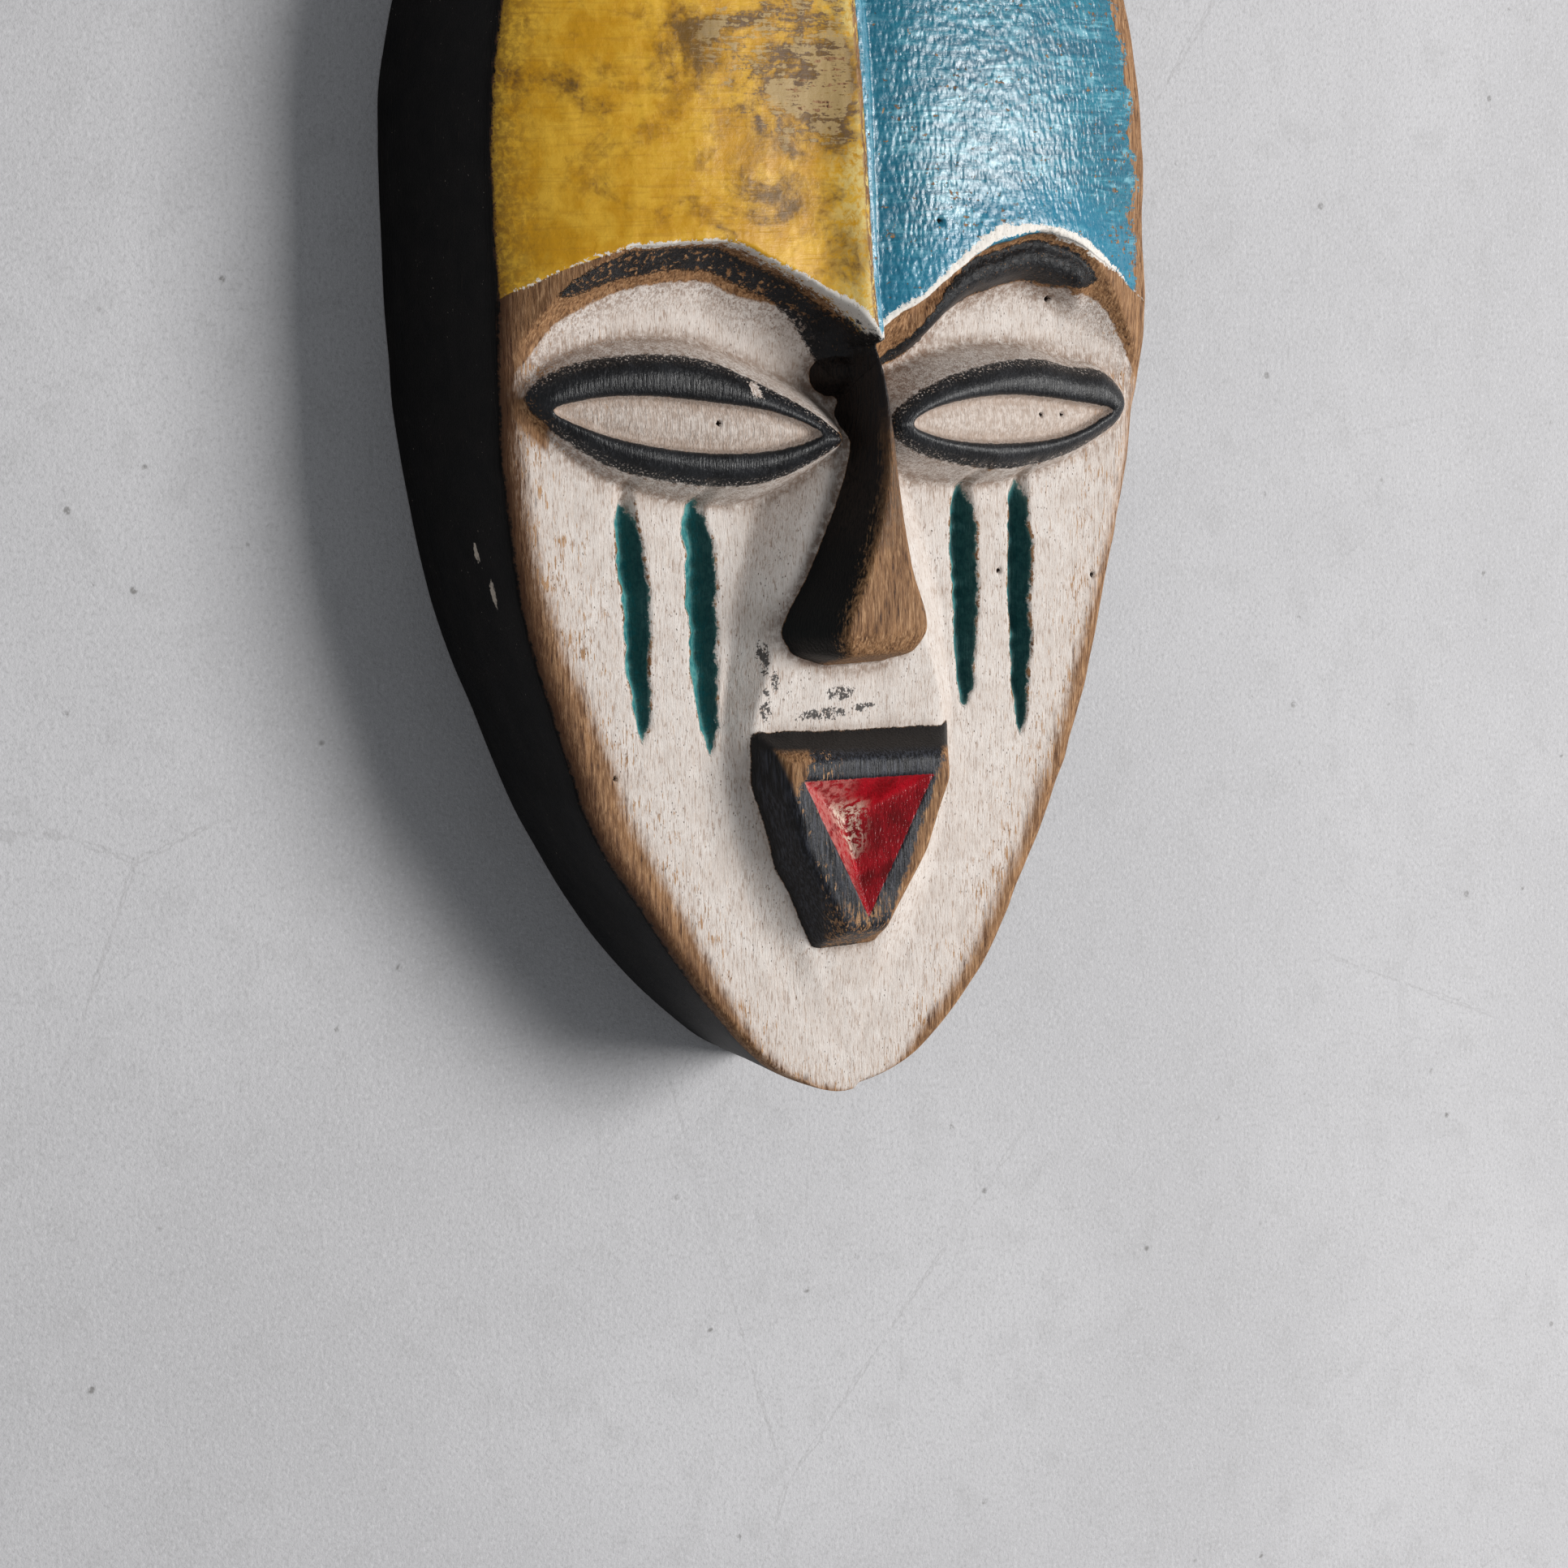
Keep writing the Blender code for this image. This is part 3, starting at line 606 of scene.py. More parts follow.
def carving():
    """The whole block as closed rings stacked from the crown to the chin."""
    heights = block_rows()
    rim, left, right = outlines(heights)
    wander = 0.35 * lattice_noise(heights, heights * 0, 14.0, 1.0, 31) - 0.35
    rim = np.maximum(rim + wander, 0.2)
    left = np.maximum(left + 0.35 * lattice_noise(heights, heights * 0, 7.0, 1.0, 32), 0.2)
    right = np.minimum(right + 0.35 * lattice_noise(heights, heights * 0, 7.0, 1.0, 33), FACE_EDGE_LIMIT)
    right = np.maximum(right, 0.2)
    narrow = smooth_step(rim, 0.2, 1.6)
    left, right = (0.2 + (side - 0.2) * narrow for side in (left, right))
    u = np.linspace(-1.0, 1.0, FRONT_COLUMNS)[None, :]
    x = (left + right)[:, None] / 2 * u + (right - left)[:, None] / 2
    z = np.repeat(heights[:, None], FRONT_COLUMNS, axis=1)
    depth, marks = carve(x, z, left[:, None], right[:, None])
    depth = blur(depth, 0.8, 0.9)
    cavity = blur(depth, 5.5, 6.5) - depth
    sharp = blur(depth, 1.8, 2.2) - depth
    depth = depth + surface_relief(x, z, marks)
    marks["edge"] = np.minimum(x + left[:, None], right[:, None] - x)
    marks["cavity"] = cavity
    marks["sharp"] = sharp
    marks["back"] = np.zeros_like(x)

    rows = len(heights)
    steps = np.concatenate([np.linspace(0, 0.12, 14)[1:], np.linspace(0.12, 0.985, 34)[1:]])
    steps = np.concatenate([steps, np.linspace(0.985, 1.0, 9)[1:]])
    wall = len(steps)
    rings_x = [x]
    rings_y = [-depth]
    side_marks = {name: [values] for name, values in marks.items()}

    def add_part(part_x, part_y, edge, back):
        rings_x.append(part_x)
        rings_y.append(part_y)
        for name, values in side_marks.items():
            filled = np.full(part_x.shape, -FAR)
            if name == "edge":
                filled = edge
            elif name in ("cavity", "sharp"):
                filled = np.zeros(part_x.shape)
            elif name == "back":
                filled = np.full(part_x.shape, back)
            elif name in ("brow", "seam"):
                column = values[0][:, -1:] if part_x.mean() > 0 else values[0][:, :1]
                filled = np.repeat(column, part_x.shape[1], 1)
            values.append(filled)

    z_side = np.repeat(heights[:, None], wall, axis=1)
    for sign, half in ((1, right), (-1, left)):
        face_x = sign * half[:, None]
        face_depth = depth[:, -1:] if sign > 0 else depth[:, :1]
        share = steps[None, :]
        part_x = face_x + (sign * rim[:, None] - face_x) * share
        part_d = face_depth * (1 - share)
        knocks = 0.22 * lattice_noise(part_d, z_side, 9.0, 24.0, 41 + sign)
        knocks += 0.08 * lattice_noise(part_d, z_side, 3.0, 9.0, 44 + sign) - 0.2
        inward = smooth_step(share, 0.0, 0.1) * (1 - smooth_step(share, 0.9, 1.0)) * narrow[:, None]
        part_x = part_x + sign * knocks * inward
        edge = -(face_depth - part_d)
        if sign > 0:
            add_part(part_x, -part_d, edge, 0.0)
            back_x = np.stack([back_columns(value) for value in rim])[:, 1:-1]
            z_back = np.repeat(heights[:, None], back_x.shape[1], axis=1)
            back_y = back_depth(back_x, z_back)
            add_part(back_x, back_y, np.full(back_x.shape, -60.0), 1.0)
        else:
            add_part(part_x[:, ::-1], -part_d[:, ::-1], edge[:, ::-1], 0.0)
    ring_x = np.concatenate(rings_x, axis=1)
    ring_y = np.concatenate(rings_y, axis=1)
    front = FRONT_COLUMNS
    back_count = rings_x[2].shape[1]
    corners = [0, front - 1, front - 1 + wall, front + wall + back_count]
    ring_x, ring_y = round_corners(ring_x, ring_y, corners)

    count = ring_x.shape[1]
    points = np.stack([ring_x, ring_y, np.repeat(heights[:, None], count, axis=1)], axis=2)
    points = points.reshape(-1, 3)
    caps = [(ring_x[k].mean(), ring_y[k].mean(), heights[k]) for k in (0, -1)]
    points = np.concatenate([points, np.array(caps)]) * MM
    index = np.arange(rows * count).reshape(rows, count)
    after = np.roll(index, -1, axis=1)
    quads = np.stack([index[:-1], index[1:], after[1:], after[:-1]], axis=2).reshape(-1, 4)
    top = np.stack([np.full(count, rows * count), index[0], after[0]], axis=1)
    bottom = np.stack([np.full(count, rows * count + 1), after[-1], index[-1]], axis=1)
    mesh = bpy.data.meshes.new("mask_carving")
    mesh.from_pydata(points.tolist(), [], quads.tolist() + top.tolist() + bottom.tolist())
    for name, values in side_marks.items():
        joined = np.concatenate(values, axis=1).ravel()
        joined = np.concatenate([joined, joined[:1], joined[-1:]])
        attribute = mesh.attributes.new(name, "FLOAT", "POINT")
        attribute.data.foreach_set("value", joined.astype(np.float32))
    mesh.shade_smooth()
    return link("mask_carving", mesh)


def round_corners(ring_x, ring_y, corners):
    """Round the ring's corners: the face's two edges broadly, the wall rim's slightly."""
    count = ring_x.shape[1]
    for corner, spread in zip(corners, (7.0, 4.5, 1.6, 1.6)):
        reach = int(spread * 3)
        window = np.arange(corner - 2 * reach, corner + 2 * reach + 1) % count
        fade = np.exp(-0.5 * (np.arange(-2 * reach, 2 * reach + 1) / (spread * 1.6)) ** 2)
        for ring in (ring_x, ring_y):
            part = ring[:, window]
            soft = blur(part, 0.0, spread)
            ring[:, window] = part + (soft - part) * fade[None, :]
    return ring_x, ring_y


def wire_ring():
    """The hanger's D-shaped wire ring as one smooth tube, its bar on the joint's axis."""
    angles = np.linspace(0.0, math.pi, 90)
    arch_x = RING_HALF_WIDTH * np.sign(np.cos(angles)) * np.abs(np.cos(angles)) ** 0.75
    arch_z = (RING_WIRE - HINGE_Z) * np.sin(angles) ** 0.75
    path = np.stack([arch_x, arch_z], axis=1)
    path = np.concatenate([path, path[:1]])
    along = np.concatenate([[0.0], np.cumsum(np.hypot(*np.diff(path, axis=0).T))])
    even = np.linspace(0.0, along[-1], RING_STEPS, endpoint=False)
    path = np.stack([np.interp(even, along, path[:, k]) for k in (0, 1)], axis=1)
    path = sum(np.roll(path, k, axis=0) for k in range(-3, 4)) / 7.0
    way = np.roll(path, -1, axis=0) - np.roll(path, 1, axis=0)
    way /= np.linalg.norm(way, axis=1)[:, None]
    turn = np.linspace(0.0, 2 * math.pi, RING_SIDES, endpoint=False)
    x = path[:, 0, None] - RING_WIRE * np.cos(turn) * way[:, 1, None]
    z = path[:, 1, None] + RING_WIRE * np.cos(turn) * way[:, 0, None] + HINGE_Z
    y = np.broadcast_to(HINGE_Y + RING_WIRE * np.sin(turn), x.shape)
    points = np.stack([x, y, z], axis=2).reshape(-1, 3) * MM
    index = np.arange(RING_STEPS * RING_SIDES).reshape(RING_STEPS, RING_SIDES)
    after = np.roll(index, -1, axis=0)
    corners = [index, np.roll(index, -1, axis=1), np.roll(after, -1, axis=1), after]
    mesh = bpy.data.meshes.new("wire_ring")
    mesh.from_pydata(points.tolist(), [], np.stack(corners, axis=2).reshape(-1, 4).tolist())
    mesh.shade_smooth()
    return link("wire_ring", mesh)


def srgb(red, green, blue):
    """Linear colour from 0-255 display values."""
    linear = []
    for value in (red, green, blue):
        share = value / 255.0
        linear.append(share / 12.92 if share <= 0.04045 else ((share + 0.055) / 1.055) ** 2.4)
    return (*linear, 1.0)


class Value:
    """A node's output. Sums, products and ramps of it become further nodes."""

    def __init__(self, graph, socket):
        self.graph = graph
        self.socket = socket

    def __add__(self, other):
        return self.graph.math("ADD", self, other)

    def __radd__(self, other):
        return self.graph.math("ADD", other, self)

    def __sub__(self, other):
        return self.graph.math("SUBTRACT", self, other)

    def __rsub__(self, other):
        return self.graph.math("SUBTRACT", other, self)

    def __mul__(self, other):
        return self.graph.math("MULTIPLY", self, other)

    def __pow__(self, other):
        return self.graph.math("POWER", self, other)

    def __abs__(self):
        return self.graph.math("ABSOLUTE", self)

    def ramp(self, low, high, start=0.0, end=1.0):
        """start at low, end at high, and an S-shaped run between them. low may be above high."""
        inputs = {0: self, 1: low, 2: high, 3: start, 4: end}
        settings = {"interpolation_type": "SMOOTHSTEP", "clamp": True}
        return self.graph.add("ShaderNodeMapRange", 0, settings, inputs)

    def stain(self, share, red, green, blue):
        return self.graph.mix(share, self, srgb(red, green, blue))


class Graph:
    """One material's node tree, with a short call for each kind of node."""

    def __init__(self, name):
        self.material = bpy.data.materials.new(name)
        self.material.use_nodes = True
        self.tree = self.material.node_tree
        self.tree.nodes.clear()
        where = self.add("ShaderNodeTexCoord", "Object", {}, {})
        self.where = self.add("ShaderNodeVectorMath", 0, {"operation": "SCALE"}, {0: where, 3: 1.0 / MM})

    def add(self, kind, output, settings, inputs):
        node = self.tree.nodes.new(kind)
        for name, value in settings.items():
            setattr(node, name, value)
        for key, value in inputs.items():
            if isinstance(value, Value):
                self.tree.links.new(value.socket, node.inputs[key])
            else:
                node.inputs[key].default_value = value
        return Value(self, node.outputs[output])

    def mark(self, name):
        return self.add("ShaderNodeAttribute", "Fac", {"attribute_name": name}, {})

    def math(self, operation, a, b=0.0):
        return self.add("ShaderNodeMath", 0, {"operation": operation}, {0: a, 1: b})

    def either(self, a, b):
        return self.math("MAXIMUM", a, b)

    def place(self, stretch, offset=0.0):
        settings = {"operation": "MULTIPLY"}
        scaled = self.add("ShaderNodeVectorMath", 0, settings, {0: self.where, 1: stretch})
        if not offset:
            return scaled
        shift = (offset, offset * 0.7, offset * 1.3)
        return self.add("ShaderNodeVectorMath", 0, {"operation": "ADD"}, {0: scaled, 1: shift})

    def noise(self, stretch, detail=3.0, rough=0.55, bend=0.0, offset=0.0):
        """Noise whose stretch is given in features per millimetre along X, Y and Z."""
        inputs = {"Vector": self.place(stretch, offset), "Scale": 1.0, "Detail": detail}
        inputs.update({"Roughness": rough, "Distortion": bend})
        return self.add("ShaderNodeTexNoise", "Fac", {"noise_dimensions": "3D"}, inputs)

    def cells(self, stretch, feature="F1", offset=0.0):
        inputs = {"Vector": self.place(stretch, offset), "Scale": 1.0}
        return self.add("ShaderNodeTexVoronoi", "Distance", {"feature": feature}, inputs)

    def mix(self, share, a, b):
        return self.add("ShaderNodeMix", 2, {"data_type": "RGBA"}, {0: share, 6: a, 7: b})

    def blend(self, share, a, b):
        return self.add("ShaderNodeMix", 0, {"data_type": "FLOAT"}, {0: share, 2: a, 3: b})

    def surface(self, colour, rough, height, metal=0.0, specular=0.5):
        """Principled shader whose relief is a share of a millimetre."""
        bump = self.add("ShaderNodeBump", 0, {}, {"Height": height, "Distance": MM, "Strength": 1.0})
        inputs = {"Base Color": colour, "Roughness": rough, "Metallic": metal, "Normal": bump}
        inputs["Specular IOR Level"] = specular
        return self.add("ShaderNodeBsdfPrincipled", 0, {}, inputs)

    def finish(self, shader):
        output = self.tree.nodes.new("ShaderNodeOutputMaterial")
        self.tree.links.new(shader.socket, output.inputs[0])
        return self.material


class Finish:
    """Colour, roughness and shine built up coat by coat over the bare wood."""

    def __init__(self, graph, colour, rough, shine):
        self.graph = graph
        self.colour = colour
        self.rough = rough
        self.shine = shine

    def cover(self, share, colour, rough, shine=0.3):
        self.colour = self.graph.mix(share, self.colour, colour)
        self.rough = self.graph.blend(share, self.rough, rough)
        self.shine = self.graph.blend(share, self.shine, shine)


def painted_wood():
    g = Graph("painted_wood")
    mark = SimpleNamespace(**{name: g.mark(name) for name in MARKS})
    up = g.add("ShaderNodeSeparateXYZ", "Z", {}, {0: g.where})

    # Shared noises, from broad to fine
    broad = g.noise((0.03, 0.03, 0.03), 3.0, 0.6)
    patch = g.noise((0.11, 0.11, 0.11), 4.0, 0.6, 0.3, 5.0)
    ragged = g.noise((0.55, 0.55, 0.55), 5.0, 0.65, 0.4, 9.0)
    crumb = g.noise((1.6, 1.6, 1.3), 3.0, 0.6, 0.0, 13.0)
    fibre = g.noise((1.7, 1.7, 0.2), 4.0, 0.62, 0.2, 17.0)
    grain = g.noise((0.75, 0.75, 0.035), 5.0, 0.62, 0.5, 21.0)
    scrape = g.noise((0.07, 0.07, 1.1), 4.0, 0.6, 0.2, 25.0)
    hatch = g.noise((1.5, 1.5, 0.16), 3.0, 0.6, 0.3, 41.0)
    jag = ragged - 0.5
    jag_fine = crumb - 0.5
    jag_long = fibre - 0.5

    def border(value, wide=2.2, fine=0.7, soft=0.12, shift=0.0):
        """1 inside a mark whose border is made ragged."""
        moved = value + (jag * wide + jag_fine * fine)
        return moved.ramp(shift - soft, shift + soft)

    def spot(x, z, radius):
        """1 in a small ragged patch around a point of the face."""
        across = abs(mark.seam - (x - SEAM_X))
        along = abs(up - z)
        away = g.either(across, along * 0.8) + jag_fine * -4.0
        return away.ramp(radius + 0.2, radius - 0.2)

    def without(share, loss):
        return share * (1.0 - loss)

    # Bare wood, with painted shade darkening it towards the left edge, which turns away from the light
    wood = g.mix(grain.ramp(0.32, 0.7), srgb(104, 70, 42), srgb(160, 118, 80))
    wood = wood.stain(fibre.ramp(0.46, 0.72), 186, 146, 108)
    wood = wood.stain(fibre.ramp(0.44, 0.3), 62, 38, 25)
    left = mark.seam.ramp(-20.0, -60.0)
    # Painted shade: the wood darkens along the left edge, the side away from the light
    left_edge_shade = left * (mark.edge + jag * 4.0).ramp(9.0, 1.0)
    wood = wood.stain(left_edge_shade * 0.85, 72, 42, 24)
    f = Finish(g, wood, 0.66, 0.25)

    # Cream paint over the face, worn along its edges and down the jaw
    tone = g.mix(patch.ramp(0.3, 0.7), srgb(212, 200, 191), srgb(226, 217, 210))
    tone = tone.stain(ragged.ramp(0.52, 0.7) * 0.3, 192, 170, 152)
    thread = g.noise((2.1, 2.1, 0.3), 4.0, 0.7, 0.4, 71.0)
    tone = tone.stain(thread.ramp(0.53, 0.64) * 0.65, 150, 120, 98)
    edge_tan = mark.edge.ramp(22.0, 2.0) * (fibre * 0.6 + patch * 0.4).ramp(0.44, 0.6)
    tone = tone.stain(edge_tan * 0.5, 176, 142, 114)
    tone = tone.stain(thread.ramp(0.46, 0.36) * 0.5, 232, 225, 218)
    speck = g.cells((0.9, 0.9, 0.5), offset=3.0).ramp(0.17, 0.07)
    speck = speck * patch.ramp(0.42, 0.6)
    tone = tone.stain(speck * 0.75, 112, 84, 64)
    # Darker in the hollows: dirt, and painted shade where the hollows fall in shade
    hollow_dirt_and_shade = mark.cavity.ramp(0.1, 2.4) * ragged.ramp(0.25, 0.62)
    tone = tone.stain(hollow_dirt_and_shade * 0.7, 134, 110, 92)
    # Darker around the lids: soiling, and painted shade in the sockets and under the lids
    socket_soil_and_shade = mark.lid.ramp(-9.0, -0.5) * (ragged * 0.5 + thread * 0.5).ramp(0.44, 0.56)
    tone = tone.stain(socket_soil_and_shade * 0.55, 136, 108, 88)
    # Darker in patches just under the brow band, fading downwards: painted shade under the brow, with
    # some soiling
    under_brow_soil_and_shade = mark.band.ramp(11.0, 0.5) * (ragged * 0.5 + crumb * 0.5).ramp(0.47, 0.56)
    tone = tone.stain(under_brow_soil_and_shade * 0.55, 128, 98, 78)
    # Painted shadow of the nose: the cream darkens in patches beside the nose, mostly on its left, away
    # from the light
    nose_shadow = mark.nose.ramp(-10.0, -1.0) * ragged.ramp(0.35, 0.6)
    nose_shadow = nose_shadow * mark.seam.ramp(6.0, -4.0)
    tone = tone.stain(nose_shadow * 0.55, 116, 92, 78)
    cream = border(mark.band, 2.8, 1.0, 0.35)
    jaw = up.ramp(-190.0, -275.0)
    rub = mark.edge + (jag_long * 11.0 + (grain - 0.5) * 9.0)
    right_jaw = mark.seam.ramp(10.0, 30.0) * up.ramp(-205.0, -250.0)
    near = left * jaw * 7.0 + (1.4 + left * 2.6)
    near = near + right_jaw * 4.5
    rub = rub + jag * 3.0 - near
    cream = cream * rub.ramp(-1.0, 5.5)
    flecks = fibre * 0.75 + (patch * 0.25 + rub.ramp(26.0, 3.0) * 0.05)
    flecks = flecks.ramp(0.6, 0.64)
    cream = without(cream, flecks * rub.ramp(48.0, 6.0))
    cream = cream * (mark.sharp * -3.0 + jag * 2.4).ramp(1.35, 1.0)
    nub = mark.seam.ramp(-84.5, -87.0) * mark.lid.ramp(-5.5, -3.5)
    cream = without(cream, nub * up.ramp(-164.0, -165.5))
    cream = without(cream, g.either(mark.nose.ramp(-0.4, 0.1), mark.mouth.ramp(-0.2, 0.3)))
    # Painted shade: the eyeball in the slit is toned darker, as it lies under the lids
    slit_shade = mark.slit.ramp(-0.5, 0.5)
    tone = tone.stain(slit_shade * 0.5, 206, 190, 178)
    f.cover(cream, tone, 0.62, 0.25)

    # Yellow left of the seam, stained and scraped through
    forehead = border(mark.brow * -1.0, 0.8, 0.4, 0.12)
    yellow = g.mix(patch.ramp(0.35, 0.65), srgb(202, 146, 16), srgb(226, 176, 52))
    yellow = yellow.stain(scrape.ramp(0.5, 0.7) * 0.4, 176, 126, 30)
    near_seam = mark.seam.ramp(-16.0, -2.0)
    yellow = yellow.stain(near_seam * ragged.ramp(0.36, 0.6), 226, 200, 124)
    zone = mark.seam.ramp(-84.0, -46.0) * mark.seam.ramp(0.0, -8.0)
    zone = zone * mark.brow.ramp(-3.0, -22.0)
    decay = g.noise((0.045, 0.045, 0.06), 8.0, 0.6, 0.5, 64.0)
    scrub = g.noise((0.12, 0.12, 0.9), 5.0, 0.7, 0.3, 66.0)
    stain = decay * 0.8 + (ragged * 0.2 + (zone - 1.0) * 0.14)
    yellow = yellow.stain(stain.ramp(0.39, 0.54) * 0.85, 142, 98, 12)
    yellow = yellow.stain(stain.ramp(0.48, 0.57) * 0.75, 92, 66, 24)
    soak = mark.edge.ramp(16.0, 1.0) * ragged.ramp(0.35, 0.6)
    yellow = yellow.stain(soak * 0.6, 112, 74, 22)
    core = mark.seam.ramp(-56.0, -34.0) * mark.brow.ramp(-112.0, -90.0)
    core = core * (mark.brow.ramp(-16.0, -40.0) * mark.seam.ramp(-1.0, -5.0))
    worn = decay * 0.4 + (scrub * 0.4 + ragged * 0.2)
    worn = worn + (core - 1.0) * 0.12
    scraped = worn.ramp(0.485, 0.52) * crumb.ramp(0.34, 0.44)
    yellow = yellow.stain(scraped * 0.8, 104, 80, 58)
    pale = (worn + (patch - 0.5) * -0.5).ramp(0.515, 0.54)
    yellow = yellow.stain(pale * (core * 0.6), 206, 176, 118)
    share = forehead * border(mark.seam * -1.0, 0.9, 0.4, 0.15)
    bare = worn.ramp(0.585, 0.592)
    edge_loss = (mark.edge + jag * 7.0).ramp(1.2, 0.2)
    seam_line = mark.seam.ramp(-1.8, -0.8) * fibre.ramp(0.42, 0.5)
    share = without(share, g.either(g.either(bare, edge_loss), seam_line))
    f.cover(share, yellow, worn.ramp(0.3, 0.6, 0.36, 0.52), 0.38)

    # Blue right of the seam, with a leathery skin and small chips
    sweep = g.noise((0.05, 0.05, 0.42), 5.0, 0.64, 1.3, 31.0)
    leather = g.cells((0.8, 0.8, 0.45), "SMOOTH_F1", 35.0)
    blue = g.mix(sweep.ramp(0.32, 0.66), srgb(2, 90, 114), srgb(28, 122, 144))
    # Pale patches: lighter brush strokes, and partly a painted highlight standing for the blue's sheen
    light = patch * 0.5 + sweep * 0.5
    blue = blue.stain(light.ramp(0.52, 0.62) * 0.65, 128, 186, 200)
    blue = blue.stain(fibre.ramp(0.52, 0.75) * 0.35, 14, 80, 112)
    blue = blue.stain(mark.brow.ramp(-20.0, -6.0) * 0.55, 30, 128, 160)
    # Painted shade: the hollow right of the ridge is darkened, as it faces away from the light
    valley_shade = mark.seam.ramp(4.8, 6.0) * mark.seam.ramp(16.0, 9.0)
    blue = blue.stain(valley_shade * 0.5, 22, 104, 128)
    # Painted highlight: the ridge's right flank, which faces the light, is lightened
    keel_highlight = mark.seam.ramp(5.8, 4.8) * fibre.ramp(0.35, 0.6)
    blue = blue.stain(keel_highlight * 0.7, 118, 172, 194)
    nicks = ragged * 0.55 + (scrape * 0.25 + patch * 0.2)
    nicks = nicks + mark.edge.ramp(40.0, 6.0) * 0.03
    chips = nicks.ramp(0.592, 0.602)
    ragged_edge = jag * 18.0 + (patch - 0.5) * 16.0
    right_loss = (mark.edge + ragged_edge).ramp(7.8, 7.2)
    share = forehead * border(mark.seam, 0.9, 0.4, 0.15)
    f.cover(without(share, g.either(chips, right_loss)), blue, crumb.ramp(0.3, 0.7, 0.2, 0.38), 0.7)

    primer = border(mark.primer, 3.4, 1.8, 0.12, 0.1)
    primer = primer * mark.edge.ramp(1.0, 3.0)
    white = g.mix(crumb.ramp(0.6, 0.68) * 0.6, srgb(232, 226, 218), srgb(126, 108, 94))
    f.cover(primer, white, 0.62, 0.25)

    # Black: brow strokes, lids, nose, mouth
    black = g.mix(patch.ramp(0.35, 0.7), srgb(17, 17, 19), srgb(34, 35, 38))
    # Lighter streaks along the brush marks: brush streaks, partly a painted sheen on the black
    black = black.stain(hatch.ramp(0.52, 0.72) * 0.4, 62, 63, 67)
    stroke = border(mark.stroke, 3.6, 1.8, 0.2)
    stroke = without(stroke, mark.seam.ramp(-6.0, -16.0) * ragged.ramp(0.56, 0.6))
    stroke = without(stroke, crumb.ramp(0.66, 0.69))
    f.cover(stroke, black, 0.36, 0.3)

    open_eye = border(mark.slit, 0.8, 0.5, 0.15)
    lid_ring = without(border(mark.lid, 1.7, 0.9, 0.15, 0.1), open_eye)
    lid_chips = mark.lid.ramp(2.6, 0.4) * crumb.ramp(0.585, 0.615)
    lid_ring = without(lid_ring, g.either(lid_chips, spot(-32.2, -164.4, 1.5)))
    f.cover(lid_ring, black, hatch.ramp(0.3, 0.7, 0.3, 0.46), 0.34)
    # Soiling in the slit, and painted shade darkening the eyeball along its border under the lids
    slit_soil_and_shade = open_eye * (ragged * 0.6 + crumb * 0.4).ramp(0.36, 0.6)
    slit_soil_and_shade = slit_soil_and_shade * 0.2 + open_eye * mark.slit.ramp(3.4, 0.5) * 0.3
    f.cover(slit_soil_and_shade, srgb(134, 110, 92), 0.62)

    nose = border(mark.nose, 1.4, 0.8, 0.2, 0.1)
    nose = nose * mark.brow.ramp(1.0, 3.5)
    rubbed = mark.plane + (jag_long * 5.0 + jag * 3.0)
    rubbed = rubbed.ramp(-1.4, 0.2) * (up + jag * 16.0).ramp(-168.0, -184.0)
    # Painted shade: the nose's black is darker left of the seam, on the flank away from the light
    nose_black_shaded_left = g.mix(mark.seam.ramp(-1.0, 3.0), srgb(6, 6, 7), srgb(30, 30, 33))
    f.cover(without(nose, rubbed * 0.96), nose_black_shaded_left, 0.42, 0.2)
    smoky = up.ramp(-224.0, -184.0) + (patch - 0.5) * 1.4
    smoky = nose * smoky.ramp(0.2, 0.9) * fibre.ramp(0.36, 0.56)
    f.cover(smoky * 0.65, srgb(40, 28, 22), 0.5)

    # Mouth: black with a worn right side and worn upper corners
    mouth = border(mark.mouth, 1.4, 0.9, 0.2, 0.1)
    low = up + mark.seam * 0.06
    front = (low + jag * 1.2).ramp(-261.6, -263.4)
    right_edge = 23.0 + (up + 270.0) * 0.42
    worn_right = mark.seam - right_edge + (jag * 5.0 + jag_long * 4.0)
    worn_right = worn_right.ramp(-0.6, 1.0)
    corner = mark.seam + 19.4 + (up + 268.0) * -0.5
    corner = (corner + (jag * 9.0 + jag_long * 7.0)).ramp(0.4, -0.4)
    corner = corner * (up + jag * 8.0).ramp(-279.0, -272.0)
    tip = (up + jag * 22.0).ramp(-300.0, -308.0) * (fibre * 0.5 + ragged * 0.5).ramp(0.5, 0.54)
    streaks = mark.seam.ramp(-6.0, -12.0) * (fibre * 0.6 + ragged * 0.4).ramp(0.57, 0.6)
    loss = g.either(g.either(worn_right, corner), g.either(tip, streaks)) * front
    deep_side = (mark.seam + (up + 268.0) * 0.32).ramp(-23.2, -24.6)
    mouth = without(mouth, loss * (1.0 - deep_side))
    # Lighter streaks on the lip: blue-black brush streaks, partly a painted sheen
    lip = g.mix(hatch.ramp(0.4, 0.7), srgb(20, 20, 23), srgb(60, 62, 70))
    lip = g.mix(mark.mouth.ramp(0.0, 3.0), srgb(12, 11, 11), lip)
    lip = lip.stain(1.0 - front, 30, 27, 26)
    f.cover(mouth, lip, 0.42, 0.24)

    red = g.mix(patch.ramp(0.35, 0.65), srgb(122, 6, 14), srgb(176, 16, 32))
